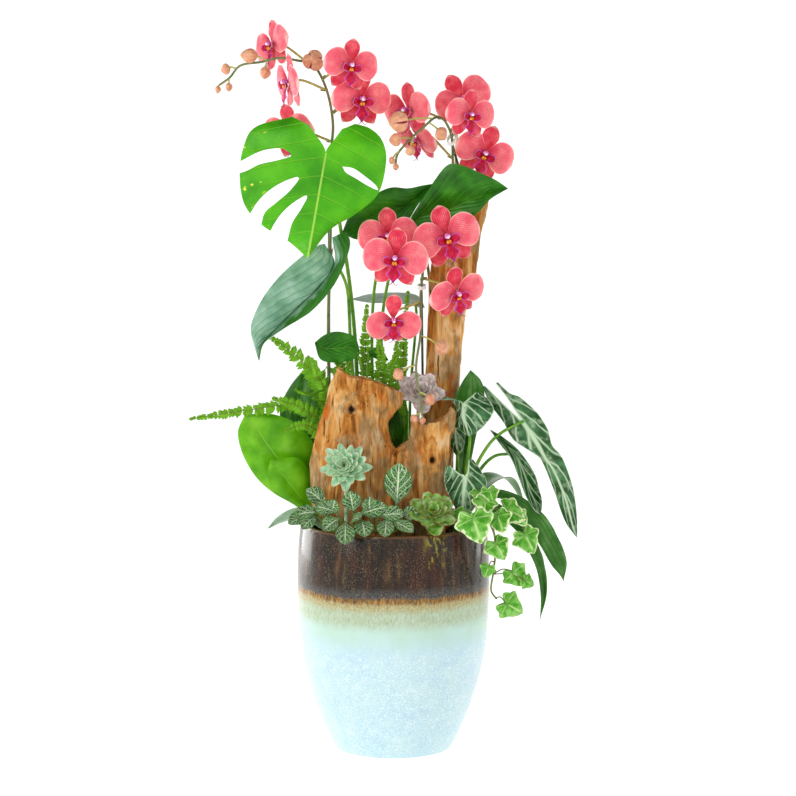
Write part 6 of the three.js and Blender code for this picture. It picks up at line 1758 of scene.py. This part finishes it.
ALOCASIA_LEAVES = [
    {
        "edge_depth": [4, 4],
        "rows": [
            [6, 115, 471, 118, 472, 132, 476, 135, 476], [4, 125, 448, 136, 455, 146, 458, 149, 463],
            [2, 134, 436, 152, 440, 156, 442, 165, 456], [-2, 144, 422, 166, 427, 166, 427, 185, 438],
            [-4, 153, 405, 184, 401, 199, 417], [-6, 169, 393, 197, 378, 205, 396],
            [-8, 187, 384, 209, 358, 219, 378], [-11, 206, 342, 223, 324, 232, 340],
            [-14, 221, 300, 231, 294, 237, 303], [-16, 237, 277],
        ],
        "petiole": [[84, -6, 290], [98, -10, 350], [128, -6, 403], [158, -4, 423], [168, -3, 427]],
    },
    {
        "edge_depth": [5, 5],
        "rows": [
            [-18, 57, 458, 61, 457, 106, 466, 112, 465], [-22, 72, 459, 84, 456, 93, 456, 122, 457],
            [-26, 82, 443, 89, 452, 89, 452, 129, 443], [-30, 77, 426, 88, 440, 120, 428],
            [-34, 85, 419, 92, 428, 108, 417], [-37, 97, 412],
        ],
        "petiole": [[84, -8, 290], [95, -22, 378], [98, -28, 412], [91, -27, 448]],
    },
    {
        "edge_depth": [4, 4],
        "rows": [
            [-62, 67, 377, 72, 377, 96, 385, 101, 385], [-64, 65, 363, 84, 368, 94, 370, 111, 372],
            [-66, 67, 348, 91, 364, 91, 364, 119, 354], [-68, 74, 332, 89, 345, 110, 338],
            [-70, 81, 321, 88, 328, 99, 324], [-71, 86, 312],
        ],
        "petiole": [[84, -10, 290], [90, -32, 335], [92, -54, 360], [91, -66, 364]],
    },
    {
        "edge_depth": [-14, -6],
        "rows": [
            [8, 125, 415], [6, 136, 400, 139, 402, 143, 405], [4, 152, 379, 157, 383, 163, 388],
            [2, 161, 357, 168, 361, 182, 360], [0, 171, 331, 177, 335, 188, 340],
            [-2, 182, 313, 186, 317, 192, 324], [-4, 191, 305],
        ],
        "petiole": [[84, -4, 290], [104, 2, 350], [130, 6, 380], [156, 4, 384]],
    },
    {
        "edge_depth": [3, 3],
        "rows": [
            [16, 78, 442], [15, 70, 428, 80, 424, 90, 428], [14, 70, 408, 81, 404, 93, 408],
            [12, 76, 390, 83, 388, 91, 391], [10, 84, 376],
        ],
        "petiole": [[84, -2, 290], [84, 8, 340], [83, 11, 388]],
    },
]
alocasia = Sculpt()
for n, leaf in enumerate(ALOCASIA_LEAVES):
    add_leaf(
        alocasia, leaf["rows"], leaf["edge_depth"], seed=20 + n, steps=60, across=12, arch=0.1, wave=2.2,
        waves=7,
    )
    add_petiole(alocasia, leaf["petiole"], (2.7, 1.8), 1)
add_crown(alocasia, ROOTS["alocasia"], 296, 1)
alocasia.make("alocasia_clump", "alocasia", "alocasia", [alocasia_paint, petiole])
print("alocasia", made_triangles["alocasia_clump"], "triangles")

# %% [markdown]
# Ivy hangs over the rim on thin vines. Each leaf has five lobes: one outline from the notch at the
# stalk to the tip is drawn for a half and mirrored. The number that runs round the outline counts
# the lobes, so that a vein runs into each, and the number from the middle to the rim makes the
# cream margin.

# %% Ivy
p = ivy_paint = Paint("ivy")
tone = p.ramp(p.noise(9, 3), (0.35, "#4a9420"), (0.5, "#66ad38"), (0.65, "#90c86a"))
lobe_gap = p.beat(p.plus(p.along, 0.5))
spread = p.times(lobe_gap, p.plus(p.off, 0.15))
veins = p.times(p.step(spread, 0.05, 0.015), p.step(p.off, 0.95, 0.7))
tone = p.mix(p.times(veins, 0.6), tone, "#cfe6a0")
ragged = p.times_plus(p.noise(6, 2), 0.55, p.off)
cream = p.times(p.step(ragged, 1.14, 1.2), p.step(p.z, 250, 290, 0.15, 0.9))
tone = p.mix(cream, tone, "#e2edbe")
tone = p.mix(p.times(p.back, 0.5), tone, "#a9c67c")
p.finish(tone, rough=0.42, bump=p.times(veins, -1.0), relief=0.4, soft=0.15, reach=1.2, coat_weight=0.1)
IVY_VINES = [
    [
        [92, -52, 284], [100, -66, 306], [112, -86, 318], [126, -98, 300], [129, -86, 268],
        [127, -72, 240], [125, -64, 216], [132, -64, 206],
    ],
    [[92, -52, 288], [105, -72, 313], [128, -80, 326], [148, -80, 318], [162, -78, 304]],
]
IVY_LEAVES = [
    ([101, -118, 316], [-0.1, -0.9, 0.35], 20, 21, [112, -86, 318]),
    ([116, -92, 336], [0.1, -0.7, 0.6], -10, 14, [112, -86, 318]),
    ([145, -90, 325], [0.2, -0.75, 0.6], 60, 18, [138, -80, 323]),
    ([108, -78, 346], [0, -0.5, 0.8], 0, 10, [104, -74, 312]),
    ([168, -84, 290], [0.3, -0.85, 0.3], 25, 17, [160, -78, 306]),
    ([130, -100, 282], [0.05, -0.9, 0.3], 30, 15, [127, -96, 292]),
    ([154, -72, 241], [0.15, -0.95, 0.1], 40, 15, [127, -72, 240]),
    ([169, -74, 231], [0.3, -0.9, 0.2], 60, 9, [127, -72, 240]),
    ([146, -70, 200], [0.1, -0.95, 0.15], 60, 16, [131, -64, 207]),
    ([122, -84, 348], [0.2, -0.8, 0.6], 10, 11, [112, -86, 318]),
    ([132, -104, 318], [-0.1, -0.85, 0.4], 20, 15, [126, -96, 303]),
    ([88, -92, 320], [-0.3, -0.8, 0.5], -25, 12, [100, -66, 306]),
    ([120, -88, 250], [0, -0.95, 0.2], -20, 9, [128, -80, 256]),
    ([158, -88, 318], [0.3, -0.8, 0.5], 35, 12, [150, -79, 316]),
]
IVY_OUTLINE = [
    (0, -0.3), (0.22, -0.5), (0.44, -0.66), (0.62, -0.62), (0.74, -0.42), (0.82, -0.24), (1.0, -0.14),
    (1.08, 0.02),
    (0.94, 0.22), (0.76, 0.4), (0.66, 0.56), (0.54, 0.78), (0.3, 1.04), (0, 1.24),
]
LOBE_COUNT = [-2.5, -2.3, -2.1, -1.95, -1.7, -1.5, -1.15, -1.0, -0.8, -0.58, -0.5, -0.3, -0.12, 0]
IVY_GROWTH = 1.15


def add_ivy_leaf(sculpt, at, looks, lean, size, origin):
    half = spline([(*q, c) for q, c in zip(IVY_OUTLINE, LOBE_COUNT)], np.linspace(0, 13, 32))
    rim = np.concatenate([half, (half * (-1, 1, -1))[-2:0:-1]])
    t = np.linspace(0, 1, 9)[:, None]
    heart = np.array([0, -0.12])
    flat = heart + (rim[None, :, :2] - heart) * t[..., None]
    dish = -0.12 * np.abs(flat[..., 0]) - 0.16 * np.clip(flat[..., 1], 0, 2) ** 2
    dish = dish + 0.05 * np.sin(9 * np.arctan2(flat[..., 0], flat[..., 1]) + size) * t
    points = np.stack([flat[..., 0] * size, -flat[..., 1] * size, dish * size], axis=-1)
    marks = np.stack(np.broadcast_arrays(rim[None, :, 2], t), axis=-1)
    loop = [0, *range(len(rim)), 0]
    place = place_of(at, looks, lean)
    sculpt.blade([(put(points[:, loop[1:]], place), marks[:, loop[1:]])], 0.5, 0)
    starts = [nearest(vine, origin) for vine in vines]
    start = min(starts, key=lambda q: np.linalg.norm(q - origin))
    end = put(np.array([0, size * 0.22, 0.4]), place)
    bend = (start + end) / 2 + (0, 2, 4)
    sculpt.tube(smooth_path([start, bend, end], 18), 0.75, 7, 1)


ivy = Sculpt()
vines = [smooth_path(path, 90) for path in IVY_VINES]
for vine in vines:
    ivy.tube(vine, np.linspace(1.6, 1.1, 90), 9, 1)
add_crown(ivy, ROOTS["ivy"], 296, 1)
for at, looks, lean, size, origin in IVY_LEAVES:
    add_ivy_leaf(ivy, at, looks, lean, size * IVY_GROWTH, origin)
ivy.make("ivy_trailing", "ivy", "ivy", [ivy_paint, creeper])
print("ivy", made_triangles["ivy_trailing"], "triangles")

# %% [markdown]
# The last cell counts the triangles of all the pieces that were made here.

# %% Count the triangles
print("all pieces", sum(made_triangles.values()), "triangles")
